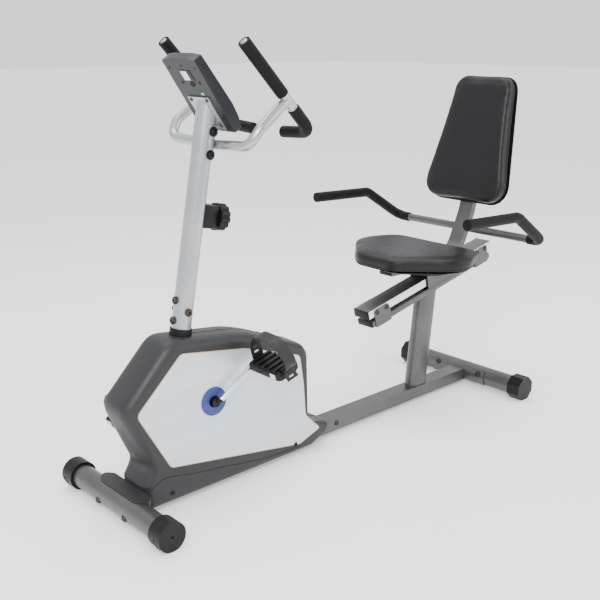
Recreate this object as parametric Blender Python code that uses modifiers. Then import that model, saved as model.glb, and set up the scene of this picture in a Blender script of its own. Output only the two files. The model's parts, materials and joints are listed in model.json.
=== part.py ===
"""A recumbent exercise bike, in metres with +Z up.

The rider sits at the +X end and faces -X, so the rider's left is -Y. The origin is on the floor, in
the middle of the bike's length. Front pieces are placed from the front floor tube's axis (FRONT_X),
rear pieces from the rear floor tube's axis (REAR_X).
"""

import math

import bmesh
import bpy
from mathutils import Matrix, Vector

# ---------------------------------------------------------------- driving dimensions
FOOT_SPACING = 1.345  # between the axes of the two floor tubes
FOOT_AXIS_Z = 0.037  # also the distance from a cap's axis to its flats
FOOT_TUBE_R = 0.030
FOOT_TUBE_WALL = 0.002
FRONT_FOOT_HALF = 0.2226  # half the width over the front caps
REAR_FOOT_HALF = 0.2485
CAP_LENGTH = 0.045
CAP_GRIP = 0.013  # how far a cap reaches over its tube
FRONT_CAP_SIDES = 24
REAR_CAP_SIDES = 8
WHEEL_R = 0.024
WHEEL_WIDTH = 0.013

GAP = 0.0003  # between pieces that touch
RUNNING_GAP = 0.0008  # between pieces that slide or turn on each other

FRAME_HALF_WIDTH = 0.0265
FRAME_BOTTOM_Z = 0.0145
FRAME_HEIGHT = 0.038
FRAME_WALL = 0.002
SADDLE_WALL = 0.003

MAST_LEAN = math.radians(10.5)
MAST_BASE_BACK = 0.1975  # mast foot's place behind FRONT_X
MAST_BASE_Z = 0.438
MAST_R = 0.025
MAST_WALL = 0.002
COLLAR_WALL = 0.003
MAST_SOCKET = 0.040  # how far the mast reaches below its base point
STUB_R = 0.0222
STUB_WALL = 0.0027
STUB_RISE = 0.085  # how far the frame's stub reaches up inside the mast

CRANK_BACK = 0.2455  # crank axis behind FRONT_X
CRANK_Z = 0.249
CRANK_LENGTH = 0.150
CRANK_ANGLE = math.radians(35)  # the left arm's rise towards the rear
CRANK_ROD_R = 0.007
CRANK_ARM_Y = 0.080  # the arm's distance from the middle
AXLE_R = 0.0085
SHELL_R = 0.020  # bottom bracket shell
BEARING_R = 0.0162

PEDAL_INNER_Y = 0.095
PEDAL_WIDTH = 0.105
PEDAL_LENGTH = 0.070
PEDAL_THICKNESS = 0.028
PEDAL_TILT = math.radians(-16)  # nose down at rest
SPINDLE_R = 0.006
STRAP_WIDTH = 0.034
STRAP_THICKNESS = 0.0028
STRAP_RISE = 0.088  # the strap loop's top above the spindle

DRIVE_PULLEY_R = 0.1045
SMALL_PULLEY_R = 0.025
PULLEY_Y = (0.026, 0.038)
BELT_THICKNESS = 0.003
FLYWHEEL_R = 0.085
FLYWHEEL_Y = (-0.014, 0.006)
FLYWHEEL_BACK = 0.4475  # flywheel axis behind FRONT_X
FLYWHEEL_Z = 0.195
FLYWHEEL_AXLE_R = 0.006
MAGNET_GAP = 0.009
MAGNET_THICKNESS = 0.010
MAGNET_ARC = (48, 140)  # degrees round the flywheel, from the rear upwards

SHROUD_HALF = 0.0585  # to the side faces; the panels stand proud of them
SHROUD_ROUNDING = 0.030
SHROUD_WALL = 0.0025
PANEL_THICKNESS = 0.0012

POST_LENGTH_X = 0.078  # flat-oval seat post section
POST_WIDTH = 0.047
POST_WALL = 0.002
POST_LEAN = math.radians(6.4)
POST_FOOT_AHEAD = 0.2515  # the seat post's foot ahead of REAR_X

RAIL_SLOPE = math.radians(12.4)
RAIL_MIDDLE_AHEAD = 0.2225  # the rail's middle ahead of REAR_X
RAIL_TOP_Z = 0.415  # the rail's top, at its middle
RAIL_HALF_LENGTH = 0.2935
RAIL_HALF_WIDTH = 0.030
RAIL_THICKNESS = 0.027
RAIL_WALL = 0.0025
BASE_RAIL_GAP = 0.0125
BASE_RAIL_THICKNESS = 0.019
BASE_RAIL_SHORTER = 0.010  # at each end
BRACKET_WALL = 0.003
BRACKET_LENGTH = 0.067
BRACKET_INSET = 0.021

CARRIAGE_FRONT = -0.030  # along the rail, from its middle
CARRIAGE_LENGTH = 0.180
CARRIAGE_WALL = 0.003

SEAT_TUBE_HALF_WIDTH = 0.025
SEAT_TUBE_THICKNESS = 0.020
SEAT_TUBE_WALL = 0.002
SEAT_TUBE_Z = 0.4485
SEAT_TUBE_FRONT_AHEAD = 0.4065
UPRIGHT_LEAN = math.radians(25)
BACK_LEAN = math.radians(15)
UPRIGHT_KNEE_AHEAD = 0.0285  # where the upright changes its lean, ahead of REAR_X
UPRIGHT_KNEE_Z = 0.584
UPRIGHT_TOP_Z = 0.850

SEAT_BOTTOM_Z = 0.4595
SEAT_THICKNESS = 0.0455
SEAT_ROUNDING = 0.008
SEAT_REAR_AHEAD = 0.1645
SEAT_LENGTH = 0.3055
SEAT_HALF_WIDTH = 0.207
BACK_THICKNESS = 0.048
BACK_BOTTOM_Z = 0.612
BACK_HEIGHT = 0.399
BACK_ROUNDING = 0.009
BACK_HALF_WIDTH_LOW = 0.160
BACK_HALF_WIDTH_HIGH = 0.103

BAR_R = 0.0125
BAR_WALL = 0.0018
SEAT_GRIP_R = 0.0158
SEAT_GRIP_START_Y = 0.238
SEAT_BAR_Z = 0.531
HAND_GRIP_R = 0.0150
GRIP_END = 0.004  # closed end of a foam grip

CONSOLE_LEAN = math.radians(33.9)  # the display's tilt back from upright
CONSOLE_BACK = 0.2995  # the console plate's centre behind FRONT_X
CONSOLE_Z = 0.9475
CONSOLE_HALF_WIDTH = 0.0646
CONSOLE_WALL = 0.0025
CONSOLE_BACK_DEPTH = 0.012
CONSOLE_TOP = 0.149
CONSOLE_BOTTOM = -0.050
PLATE_HALF_WIDTH = 0.040
PLATE_THICKNESS = 0.003

KNOB_HEIGHT = 0.2780  # tension knob, along the mast from its base point
KNOB_R = 0.034
KNOB_THICKNESS = 0.0255
KNOB_FLUTES = 12
KNOB_HOUSING_DEPTH = 0.035

# ---------------------------------------------------------------- places worked out from them
RAIL_END_BACK = (
    RAIL_HALF_LENGTH * math.cos(RAIL_SLOPE) + RAIL_THICKNESS * math.sin(RAIL_SLOPE) - RAIL_MIDDLE_AHEAD
)  # the rail's rearmost corner behind REAR_X
FRONT_CAP_R = FOOT_AXIS_Z / math.cos(math.pi / FRONT_CAP_SIDES)
REAR_CAP_R = FOOT_AXIS_Z / math.cos(math.pi / REAR_CAP_SIDES)
BACK_TOP = (BACK_BOTTOM_Z - UPRIGHT_KNEE_Z) / math.cos(BACK_LEAN) + BACK_HEIGHT
BACK_END_BACK = (
    (BACK_TOP - BACK_ROUNDING) * math.sin(BACK_LEAN)
    - (SEAT_TUBE_THICKNESS / 2 + 2 * GAP) * math.cos(BACK_LEAN)
    - UPRIGHT_KNEE_AHEAD
)  # the backrest's rearmost edge behind REAR_X
LENGTH = FOOT_AXIS_Z + FOOT_SPACING + max(RAIL_END_BACK, BACK_END_BACK)
FRONT_X = FOOT_AXIS_Z - LENGTH / 2
REAR_X = FRONT_X + FOOT_SPACING
FRAME_TOP_Z = FRAME_BOTTOM_Z + FRAME_HEIGHT
MAST_X = FRONT_X + MAST_BASE_BACK
CRANK_X = FRONT_X + CRANK_BACK
FLYWHEEL_X = FRONT_X + FLYWHEEL_BACK
RAIL_X = REAR_X - RAIL_MIDDLE_AHEAD
CONSOLE_X = FRONT_X + CONSOLE_BACK
KNEE_X = REAR_X - UPRIGHT_KNEE_AHEAD
SIDES = {"left": -1, "right": 1}

for old in list(bpy.data.objects):
    bpy.data.objects.remove(old, do_unlink=True)


def collection(name):
    made = bpy.data.collections.new(name)
    bpy.context.scene.collection.children.link(made)
    return made


PARTS = collection("recumbent_exercise_bike")
HELPERS = collection("cutters")


# ---------------------------------------------------------------- materials
def material(name, colour, roughness, metallic=0.0):
    made = bpy.data.materials.new(name)
    made.use_nodes = True
    shader = made.node_tree.nodes["Principled BSDF"]
    shader.inputs["Base Color"].default_value = (*colour, 1.0)
    shader.inputs["Roughness"].default_value = roughness
    shader.inputs["Metallic"].default_value = metallic
    return made


SILVER_PAINT = material("silver_paint", (0.55, 0.56, 0.57), 0.35, 0.5)
GREY_PAINT = material("grey_paint", (0.17, 0.16, 0.16), 0.38, 0.5)
SHROUD_PLASTIC = material("shroud_plastic", (0.055, 0.056, 0.060), 0.45)
PANEL_SILVER = material("panel_silver", (0.60, 0.61, 0.62), 0.30, 0.3)
BLACK_PLASTIC = material("black_plastic", (0.018, 0.018, 0.020), 0.45)
CONSOLE_PLASTIC = material("console_plastic", (0.050, 0.051, 0.058), 0.40)
BLACK_FOAM = material("black_foam", (0.020, 0.019, 0.021), 0.80)
BLACK_VINYL = material("black_vinyl", (0.022, 0.021, 0.023), 0.45)
RUBBER = material("rubber", (0.015, 0.015, 0.015), 0.70)
CHROME = material("chrome", (0.75, 0.75, 0.76), 0.08, 1.0)
STEEL = material("steel", (0.45, 0.45, 0.46), 0.30, 1.0)
ALUMINIUM = material("aluminium", (0.60, 0.60, 0.61), 0.28, 1.0)
CAST_IRON = material("cast_iron", (0.10, 0.10, 0.10), 0.55, 0.8)
BLUE_PLASTIC = material("blue_plastic", (0.030, 0.050, 0.230), 0.35)
LENS = material("lens", (0.06, 0.07, 0.07), 0.10)


# ---------------------------------------------------------------- modelling helpers
def add_object(name, mesh, look=None, frame=None):
    """A part when it has a look, otherwise a hidden helper for a Boolean."""
    made = bpy.data.objects.new(name, mesh)
    if look:
        mesh.materials.append(look)
        PARTS.objects.link(made)
    else:
        HELPERS.objects.link(made)
        made.hide_render = True
        made.display_type = "WIRE"
    made.parent = frame
    mesh.shade_smooth()
    mesh.set_sharp_from_angle(angle=math.radians(35))
    return made


def finish_mesh(name, shape, look, frame):
    bmesh.ops.recalc_face_normals(shape, faces=shape.faces)
    mesh = bpy.data.meshes.new(name)
    shape.to_mesh(mesh)
    shape.free()
    return add_object(name, mesh, look, frame)


def box(name, low, high, look=None, frame=None, rounding=0.0):
    shape = bmesh.new()
    low, high = Vector(low), Vector(high)
    size = Matrix.Diagonal(high - low).to_4x4()
    bmesh.ops.create_cube(shape, size=1.0, matrix=Matrix.Translation((low + high) / 2) @ size)
    made = finish_mesh(name, shape, look, frame)
    if rounding:
        round_edges(made, rounding)
    return made


def round_edges(made, width, segments=2):
    bevel = made.modifiers.new("rounded_edges", "BEVEL")
    bevel.width = width
    bevel.segments = segments
    bevel.angle_limit = math.radians(40)
    return made


def cylinder(name, start, end, radius, look=None, frame=None, sides=24, flat_down=False):
    """A round bar between two points. With flat_down one facet of a bar along Y faces the floor."""
    shape = bmesh.new()
    start, end = Vector(start), Vector(end)
    along = end - start
    turn = Matrix.Rotation(math.pi / sides if flat_down else 0, 4, "Z")
    aim = along.to_track_quat("Z", "Y").to_matrix().to_4x4()
    where = Matrix.Translation((start + end) / 2) @ aim @ turn
    bmesh.ops.create_cone(
        shape, cap_ends=True, segments=sides, radius1=radius, radius2=radius, depth=along.length, matrix=where
    )
    return finish_mesh(name, shape, look, frame)


def mesh_of_curve(name, curve_data, look, frame, matrix=None):
    """The curve as one closed mesh, with its caps welded on."""
    curve = bpy.data.objects.new(name + "_curve", curve_data)
    HELPERS.objects.link(curve)
    bpy.context.view_layer.update()
    evaluated = curve.evaluated_get(bpy.context.evaluated_depsgraph_get())
    mesh = bpy.data.meshes.new_from_object(evaluated)
    bpy.data.objects.remove(curve, do_unlink=True)
    shape = bmesh.new()
    shape.from_mesh(mesh)
    bpy.data.meshes.remove(mesh)
    if matrix:
        shape.transform(matrix)
    bmesh.ops.remove_doubles(shape, verts=shape.verts, dist=1e-6)
    return finish_mesh(name, shape, look, frame)


def tube(name, route, radius, look=None, frame=None, sides=12):
    """A round rod along a list of points."""
    curve = bpy.data.curves.new(name, "CURVE")
    curve.dimensions = "3D"
    curve.bevel_depth = radius
    curve.bevel_resolution = (sides - 4) // 2
    curve.use_fill_caps = True
    spline = curve.splines.new("POLY")
    spline.points.add(len(route) - 1)
    for point, place in zip(spline.points, route):
        point.co = (*place, 1.0)
    return mesh_of_curve(name, curve, look, frame)


def prism(name, outline, start, end, axis="Y", look=None, frame=None):
    """A flat outline, in the two other axes' coordinates, filled and extruded from start to end along axis."""
    curve = bpy.data.curves.new(name, "CURVE")
    curve.dimensions = "2D"
    curve.fill_mode = "BOTH"
    curve.extrude = (end - start) / 2
    spline = curve.splines.new("POLY")
    spline.points.add(len(outline) - 1)
    for point, place in zip(spline.points, outline):
        point.co = (place[0], place[1], 0.0, 1.0)
    spline.use_cyclic_u = True
    middle = Matrix.Translation((0, 0, (start + end) / 2))
    columns = {
        "X": ((0, 1, 0), (0, 0, 1), (1, 0, 0)),
        "Y": ((1, 0, 0), (0, 0, 1), (0, 1, 0)),
        "Z": ((1, 0, 0), (0, 1, 0), (0, 0, 1)),
    }[axis]
    return mesh_of_curve(name, curve, look, frame, Matrix(columns).transposed().to_4x4() @ middle)


def loft(name, rings, look=None, frame=None):
    """A closed skin through rings with equal numbers of points, with both ends filled."""
    shape = bmesh.new()
    loops = [[shape.verts.new(point) for point in ring] for ring in rings]
    for near, far in zip(loops, loops[1:]):
        for i in range(len(near)):
            shape.faces.new((near[i - 1], near[i], far[i], far[i - 1]))
    shape.faces.new(loops[0])
    shape.faces.new(loops[-1])
    return finish_mesh(name, shape, look, frame)


def turned(name, profile, centre, look=None, frame=None, steps=32):
    """A closed profile of (radius, y) points turned about the Y axis through centre."""
    mesh = bpy.data.meshes.new(name)
    count = len(profile)
    if sum(profile[i - 1][0] * y - r * profile[i - 1][1] for i, (r, y) in enumerate(profile)) < 0:
        profile = profile[::-1]
    edges = [(i, (i + 1) % count) for i in range(count)]
    mesh.from_pydata([(r, 0.0, -y) for r, y in profile], edges, [])
    made = add_object(name, mesh, look, frame)
    made.location = centre
    made.rotation_euler = (math.pi / 2, 0, 0)
    screw = made.modifiers.new("turn", "SCREW")
    screw.steps = steps
    screw.render_steps = steps
    screw.use_merge_vertices = True
    screw.merge_threshold = 1e-5
    return made


def boolean(target, operation, *others):
    """Adds Booleans, and hides what they use."""
    for other in others:
        cut = target.modifiers.new(other.name, "BOOLEAN")
        cut.operation = operation
        cut.object = other
        cut.solver = "EXACT"
    return target


def cut(target, *others):
    return boolean(target, "DIFFERENCE", *others)


def join(target, *others):
    return boolean(target, "UNION", *others)


def origin_at(made, place):
    """Moves the object's origin, and leaves its shape where it is."""
    made.data.transform(Matrix.Translation(-Vector(place)))
    made.location = place
    return made


def empty(name, place, lean=0.0):
    """A frame that leans towards +X by an angle about Y."""
    made = bpy.data.objects.new(name, None)
    PARTS.objects.link(made)
    made.location = place
    made.rotation_euler = (0, lean, 0)
    made.empty_display_size = 0.05
    return made


def arc(centre, radius, start, end, steps):
    """Points on a circle, with its angles in degrees."""
    angles = [math.radians(start + (end - start) * i / steps) for i in range(steps + 1)]
    return [(centre[0] + radius * math.cos(a), centre[1] + radius * math.sin(a)) for a in angles]


def fillet(before, corner, after, radius, steps):
    """The points of an arc that rounds a corner, in 2-D or 3-D."""
    before, corner, after = Vector(before), Vector(corner), Vector(after)
    towards, away = (before - corner).normalized(), (after - corner).normalized()
    half = towards.angle(away) / 2
    if radius <= 0 or half > math.radians(89.5):
        return [corner] * (steps + 1)
    reach = min(radius / math.tan(half), 0.49 * (before - corner).length, 0.49 * (after - corner).length)
    radius = reach * math.tan(half)
    middle = corner + (towards + away).normalized() * (radius / math.sin(half))
    first, last = corner + towards * reach - middle, corner + away * reach - middle
    return [middle + first.slerp(last, i / steps) * radius for i in range(steps + 1)]


def rounded_outline(corners, steps=4):
    """A closed outline from (a, b, radius) corners. Every corner gives steps + 1 points."""
    points = []
    for i, corner in enumerate(corners):
        before, after = corners[i - 1], corners[(i + 1) % len(corners)]
        if corner[2] <= 0:
            points.append(tuple(corner[:2]))
            continue
        points += [tuple(p) for p in fillet(before[:2], corner[:2], after[:2], corner[2], steps)]
    return points


def rounded_route(corners, steps=4):
    """An open route in space from (x, y, z, radius) corners."""
    points = [Vector(corners[0][:3])]
    for before, corner, after in zip(corners, corners[1:], corners[2:]):
        points += fillet(before[:3], corner[:3], after[:3], corner[3], steps)
    return points + [Vector(corners[-1][:3])]


def band(route, thickness):
    """The outline of a strip of even thickness along a 2-D route."""
    left, right = [], []
    for i, point in enumerate(route):
        before, after = Vector(route[max(i - 1, 0)]), Vector(route[min(i + 1, len(route) - 1)])
        along = (after - before).normalized()
        side = Vector((-along.y, along.x)) * thickness / 2
        left.append(tuple(Vector(point) + side))
        right.append(tuple(Vector(point) - side))
    return left + right[::-1]


def trimmed(route, length):
    """A route with a length cut off its end, or added where the length is negative."""
    route = [Vector(p) for p in route]
    while length > (route[-1] - route[-2]).length:
        length -= (route[-1] - route[-2]).length
        route.pop()
    end = (route[-1] - route[-2]).normalized()
    return route[:-1] + [route[-1] - end * length]


# ---------------------------------------------------------------- frames that lean
MAST = empty("mast_frame", (MAST_X, 0, MAST_BASE_Z), MAST_LEAN)
CONSOLE = empty("console_frame", (CONSOLE_X, 0, CONSOLE_Z), -CONSOLE_LEAN)
RAIL = empty("rail_frame", (RAIL_X, 0, RAIL_TOP_Z), -RAIL_SLOPE)
POST = empty("post_frame", (REAR_X - POST_FOOT_AHEAD, 0, FRAME_TOP_Z), POST_LEAN)
BACK = empty("back_frame", (KNEE_X, 0, UPRIGHT_KNEE_Z), BACK_LEAN)
bpy.context.view_layer.update()


def in_frame(frame, place):
    """World coordinates as coordinates of a leaning frame."""
    return frame.matrix_world.inverted() @ Vector(place)


def out_of_frame(frame, place):
    return frame.matrix_world @ Vector(place)


# ---------------------------------------------------------------- floor tubes and their caps
def floor_tube(name, x, half_length):
    made = cylinder(name, (x, -half_length, FOOT_AXIS_Z), (x, half_length, FOOT_AXIS_Z), FOOT_TUBE_R, GREY_PAINT)
    inside = cylinder(
        name + "_inside",
        (x, -half_length - 0.01, FOOT_AXIS_Z),
        (x, half_length + 0.01, FOOT_AXIS_Z),
        FOOT_TUBE_R - FOOT_TUBE_WALL,
    )
    return cut(made, inside)


def front_cap(side, sign):
    """A round cap with a slot for its transport wheel and the pin that the wheel turns on."""
    face, inner = sign * FRONT_FOOT_HALF, sign * (FRONT_FOOT_HALF - CAP_LENGTH)
    seat = inner + sign * CAP_GRIP
    slot_middle = sign * (FRONT_FOOT_HALF - 0.0165)
    slot_half = WHEEL_WIDTH / 2 + RUNNING_GAP
    wheel_x, wheel_z = FRONT_X - 0.0125, FOOT_AXIS_Z - 0.008
    made = cylinder(
        "front_cap_" + side,
        (FRONT_X, inner, FOOT_AXIS_Z),
        (FRONT_X, face, FOOT_AXIS_Z),
        FRONT_CAP_R,
        BLACK_PLASTIC,
        sides=FRONT_CAP_SIDES,
        flat_down=True,
    )
    mouth = cylinder(
        "front_cap_mouth_" + side,
        (FRONT_X, inner - sign * 0.01, FOOT_AXIS_Z),
        (FRONT_X, seat + sign * GAP, FOOT_AXIS_Z),
        FOOT_TUBE_R + GAP,
    )
    slot = cylinder(
        "front_cap_slot_" + side,
        (wheel_x, slot_middle - slot_half, wheel_z),
        (wheel_x, slot_middle + slot_half, wheel_z),
        WHEEL_R + 0.0015,
    )
    pin = cylinder(
        "front_cap_pin_" + side,
        (wheel_x, slot_middle - 0.012, wheel_z),
        (wheel_x, slot_middle + 0.012, wheel_z),
        0.003,
        sides=12,
    )
    centre_hole = cylinder(
        "front_cap_hole_" + side,
        (FRONT_X, face - sign * 0.003, FOOT_AXIS_Z),
        (FRONT_X, face + sign * 0.01, FOOT_AXIS_Z),
        0.0035,
        sides=12,
    )
    join(cut(made, mouth, slot, centre_hole), pin)
    half = WHEEL_WIDTH / 2
    profile = [(WHEEL_R, half - 0.002), (WHEEL_R, -half + 0.002), (WHEEL_R - 0.002, -half)]
    profile += [(0.003 + GAP, -half), (0.003 + GAP, half), (WHEEL_R - 0.002, half)]
    turned("transport_wheel_" + side, profile, (wheel_x, slot_middle, wheel_z), RUBBER, steps=24)


def rear_cap(side, sign):
    """An eight-sided cap: turned on its tube, it sets the bike level."""
    face, inner = sign * REAR_FOOT_HALF, sign * (REAR_FOOT_HALF - CAP_LENGTH)
    made = cylinder(
        "rear_cap_" + side,
        (REAR_X, inner, FOOT_AXIS_Z),
        (REAR_X, face, FOOT_AXIS_Z),
        REAR_CAP_R,
        BLACK_PLASTIC,
        sides=REAR_CAP_SIDES,
        flat_down=True,
    )
    mouth = cylinder(
        "rear_cap_mouth_" + side,
        (REAR_X, inner - sign * 0.01, FOOT_AXIS_Z),
        (REAR_X, inner + sign * (CAP_GRIP + GAP), FOOT_AXIS_Z),
        FOOT_TUBE_R + GAP,
    )
    origin_at(cut(made, mouth), (REAR_X, inner, FOOT_AXIS_Z))
    origin_at(mouth, (REAR_X, inner, FOOT_AXIS_Z))


floor_tube("front_stabilizer", FRONT_X, FRONT_FOOT_HALF - CAP_LENGTH + CAP_GRIP)
floor_tube("rear_stabilizer", REAR_X, REAR_FOOT_HALF - CAP_LENGTH + CAP_GRIP)
for side, sign in SIDES.items():
    front_cap(side, sign)
    rear_cap(side, sign)


# ---------------------------------------------------------------- main frame
def saddle(name, x, half_width, middle_angle, spread):
    """A curved plate against one side of a floor tube."""
    centre = (x, FOOT_AXIS_Z)
    low, high = middle_angle - spread, middle_angle + spread
    ring = arc(centre, FOOT_TUBE_R + GAP + SADDLE_WALL, low, high, 8)
    ring += arc(centre, FOOT_TUBE_R + GAP, high, low, 8)
    return prism(name, ring, -half_width, half_width)


def main_frame():
    made = box(
        "main_frame",
        (FRONT_X + 0.015, -FRAME_HALF_WIDTH, FRAME_BOTTOM_Z),
        (REAR_X - 0.015, FRAME_HALF_WIDTH, FRAME_TOP_Z),
        GREY_PAINT,
    )
    crank = (CRANK_X, CRANK_Z)
    column = cylinder("mast_stub", in_frame_point(-0.405), in_frame_point(STUB_RISE), STUB_R, frame=MAST)
    shell = cylinder("bottom_bracket_shell", (CRANK_X, -0.034, CRANK_Z), (CRANK_X, 0.0225, CRANK_Z), SHELL_R)
    gusset_root = out_of_frame(MAST, (0, 0, -0.16)), out_of_frame(MAST, (0, 0, -0.26))
    gusset = prism(
        "gusset",
        [
            (gusset_root[0].x, gusset_root[0].z),
            (crank[0], crank[1] + SHELL_R - 0.002),
            (crank[0], crank[1] - SHELL_R + 0.002),
            (gusset_root[1].x, gusset_root[1].z),
        ],
        -0.003,
        0.003,
    )
    base = box(
        "fork_base",
        (FLYWHEEL_X - 0.037, -0.0215, FRAME_TOP_Z - 0.001),
        (FLYWHEEL_X + 0.037, 0.0465, FRAME_TOP_Z + 0.003),
    )
    join(made, saddle("front_saddle", FRONT_X, 0.085, 0, 28))
    join(made, saddle("rear_saddle", REAR_X, 0.106, 180, 50), base, column, shell, gusset)
    outline = [
        (FLYWHEEL_X - 0.0365, FRAME_TOP_Z + 0.001, 0),
        (FLYWHEEL_X + 0.0365, FRAME_TOP_Z + 0.001, 0),
        (FLYWHEEL_X + 0.020, FLYWHEEL_Z + 0.018, 0.015),
        (FLYWHEEL_X - 0.020, FLYWHEEL_Z + 0.018, 0.015),
    ]
    for name, low in (("fork_left", -0.0213), ("fork_right", 0.0433)):
        join(made, prism(name, rounded_outline(outline), low, low + 0.003))
    magnet_x, magnet_z = magnet_pivot()
    ear = [
        (FLYWHEEL_X - 0.028, FLYWHEEL_Z - 0.030, 0),
        (FLYWHEEL_X + 0.005, FLYWHEEL_Z + 0.010, 0),
        (magnet_x + 0.006, magnet_z + 0.008, 0.006),
        (magnet_x - 0.012, magnet_z + 0.002, 0.006),
    ]
    join(made, prism("magnet_ear", rounded_outline(ear), -0.0212, -0.0184))
    pin = cylinder("magnet_pin", (magnet_x, -0.020, magnet_z), (magnet_x, 0.008, magnet_z), 0.003, sides=12)
    join(made, pin)
    inside = box(
        "main_frame_inside",
        (FRONT_X, -FRAME_HALF_WIDTH + FRAME_WALL, FRAME_BOTTOM_Z + FRAME_WALL),
        (REAR_X - FOOT_TUBE_R - SADDLE_WALL - 0.004, FRAME_HALF_WIDTH - FRAME_WALL, FRAME_TOP_Z - FRAME_WALL),
    )
    stub_bore = cylinder(
        "mast_stub_bore", in_frame_point(-0.33), in_frame_point(STUB_RISE + 0.02), STUB_R - STUB_WALL, frame=MAST
    )
    bearing_bore = cylinder(
        "bearing_bore", (CRANK_X, -0.05, CRANK_Z), (CRANK_X, 0.05, CRANK_Z), BEARING_R + GAP
    )
    axle_hole = cylinder(
        "flywheel_axle_hole",
        (FLYWHEEL_X, -0.04, FLYWHEEL_Z),
        (FLYWHEEL_X, 0.06, FLYWHEEL_Z),
        FLYWHEEL_AXLE_R + GAP,
    )
    cable_slot = cylinder("cable_slot", (0.0, 0, CABLE_EXIT), (0.05, 0, CABLE_EXIT), 0.008, frame=MAST, sides=12)
    tubes = [
        cylinder(name, (x, -0.2, FOOT_AXIS_Z), (x, 0.2, FOOT_AXIS_Z), FOOT_TUBE_R + GAP)
        for name, x in (("front_tube_space", FRONT_X), ("rear_tube_space", REAR_X))
    ]
    return cut(made, *tubes, inside, stub_bore, bearing_bore, axle_hole, cable_slot)


def in_frame_point(along):
    """A point on the mast's axis, in the mast's frame."""
    return (0.0, 0.0, along)


def magnet_pivot():
    angle = math.radians(MAGNET_ARC[1] - 6)
    radius = FLYWHEEL_R + MAGNET_GAP + MAGNET_THICKNESS / 2
    return FLYWHEEL_X + radius * math.cos(angle), FLYWHEEL_Z + radius * math.sin(angle)


CABLE_EXIT = -0.100  # where the tension cable leaves the stub, along the mast's axis
main_frame()


# ---------------------------------------------------------------- mast, its collar and the tension knob
def mast():
    top = in_frame(MAST, (CONSOLE_X, 0, CONSOLE_Z)).z + 0.06
    made = cylinder("mast", in_frame_point(-MAST_SOCKET), in_frame_point(top), MAST_R, SILVER_PAINT, MAST)
    inside = cylinder(
        "mast_inside", in_frame_point(-MAST_SOCKET - 0.02), in_frame_point(top + 0.02), MAST_R - MAST_WALL, frame=MAST
    )
    above_plate = box("above_plate", (-PLATE_THICKNESS - 2 * GAP, -0.1, -0.2), (0.3, 0.1, 0.2), frame=CONSOLE)
    cable_hole = cylinder(
        "mast_cable_hole", (0.01, 0, KNOB_HEIGHT - 0.013), (0.04, 0, KNOB_HEIGHT - 0.013), 0.0045, frame=MAST, sides=12
    )
    cut(made, inside, above_plate, cable_hole)


def mast_collar():
    made = cylinder("mast_collar", in_frame_point(-0.024), in_frame_point(0.0), MAST_R + COLLAR_WALL, BLACK_PLASTIC, MAST)
    bore = cylinder("collar_bore", in_frame_point(-0.05), in_frame_point(0.02), MAST_R + GAP, frame=MAST)
    cut(made, bore)


def tension_knob():
    """A block on the back of the mast with a fluted knob on its rear face."""
    low, high = KNOB_HEIGHT - 0.0285, KNOB_HEIGHT + 0.0285
    rear = MAST_R + KNOB_HOUSING_DEPTH
    housing = box(
        "tension_housing", (MAST_R - 0.012, -0.021, low), (rear, 0.021, high), BLACK_PLASTIC, MAST, rounding=0.004
    )
    mast_space = cylinder("housing_saddle", in_frame_point(low - 0.02), in_frame_point(high + 0.02), MAST_R + GAP, frame=MAST)
    shaft_hole = cylinder(
        "knob_shaft_hole", (MAST_R + 0.012, 0, KNOB_HEIGHT), (rear + 0.02, 0, KNOB_HEIGHT), 0.005, frame=MAST, sides=12
    )
    cable_way = cylinder(
        "housing_cable_way", (0.0, 0, KNOB_HEIGHT - 0.013), (MAST_R + 0.020, 0, KNOB_HEIGHT - 0.013), 0.0045,
        frame=MAST, sides=12,
    )
    cut(housing, mast_space, shaft_hole, cable_way)
    rim = []
    for i in range(KNOB_FLUTES):
        angle = 360 * i / KNOB_FLUTES
        step = 360 / KNOB_FLUTES
        rim += arc((0, KNOB_HEIGHT), KNOB_R, angle, angle + 0.5 * step, 2)
        rim += arc((0, KNOB_HEIGHT), KNOB_R - 0.003, angle + 0.65 * step, angle + 0.85 * step, 1)
    knob = prism("tension_knob", rim, rear + GAP, rear + GAP + KNOB_THICKNESS, "X", BLACK_PLASTIC, MAST)
    shaft = cylinder(
        "knob_shaft", (MAST_R + 0.014, 0, KNOB_HEIGHT), (rear + 0.01, 0, KNOB_HEIGHT), 0.0042, frame=MAST, sides=12
    )
    axis = (rear, 0, KNOB_HEIGHT)
    origin_at(join(knob, shaft), axis)
    origin_at(shaft, axis)


def tension_cable():
    """The cable from the knob's housing, down inside the mast and out to the magnet bracket."""
    hook = in_frame(MAST, (magnet_hook()[0], 0, magnet_hook()[1] + 0.0035))
    start = KNOB_HEIGHT - 0.013
    route = [
        (MAST_R + 0.016, 0, start, 0),
        (0.004, 0, start, 0.016),
        (0.0, 0, start - 0.08, 0.2),
        (0.0, 0, CABLE_EXIT + 0.010, 0.030),
        (0.060, 0, CABLE_EXIT - 0.022, 0.05),
        (hook.x - 0.012, 0, hook.z + 0.020, 0.025),
        (hook.x, 0, hook.z, 0),
    ]
    tube("tension_cable", rounded_route(route, 6), 0.002, BLACK_PLASTIC, MAST, sides=8)


# ---------------------------------------------------------------- drive inside the shroud
def crank_axle():
    made = cylinder("crank_axle", (CRANK_X, -0.0655, CRANK_Z), (CRANK_X, 0.0655, CRANK_Z), AXLE_R, STEEL)
    return origin_at(made, (CRANK_X, 0, CRANK_Z))


def bearing(side, low, high):
    profile = [(BEARING_R, high), (BEARING_R, low), (AXLE_R + GAP, low), (AXLE_R + GAP, high)]
    turned("bearing_" + side, profile, (CRANK_X, 0, CRANK_Z), STEEL)


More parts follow.
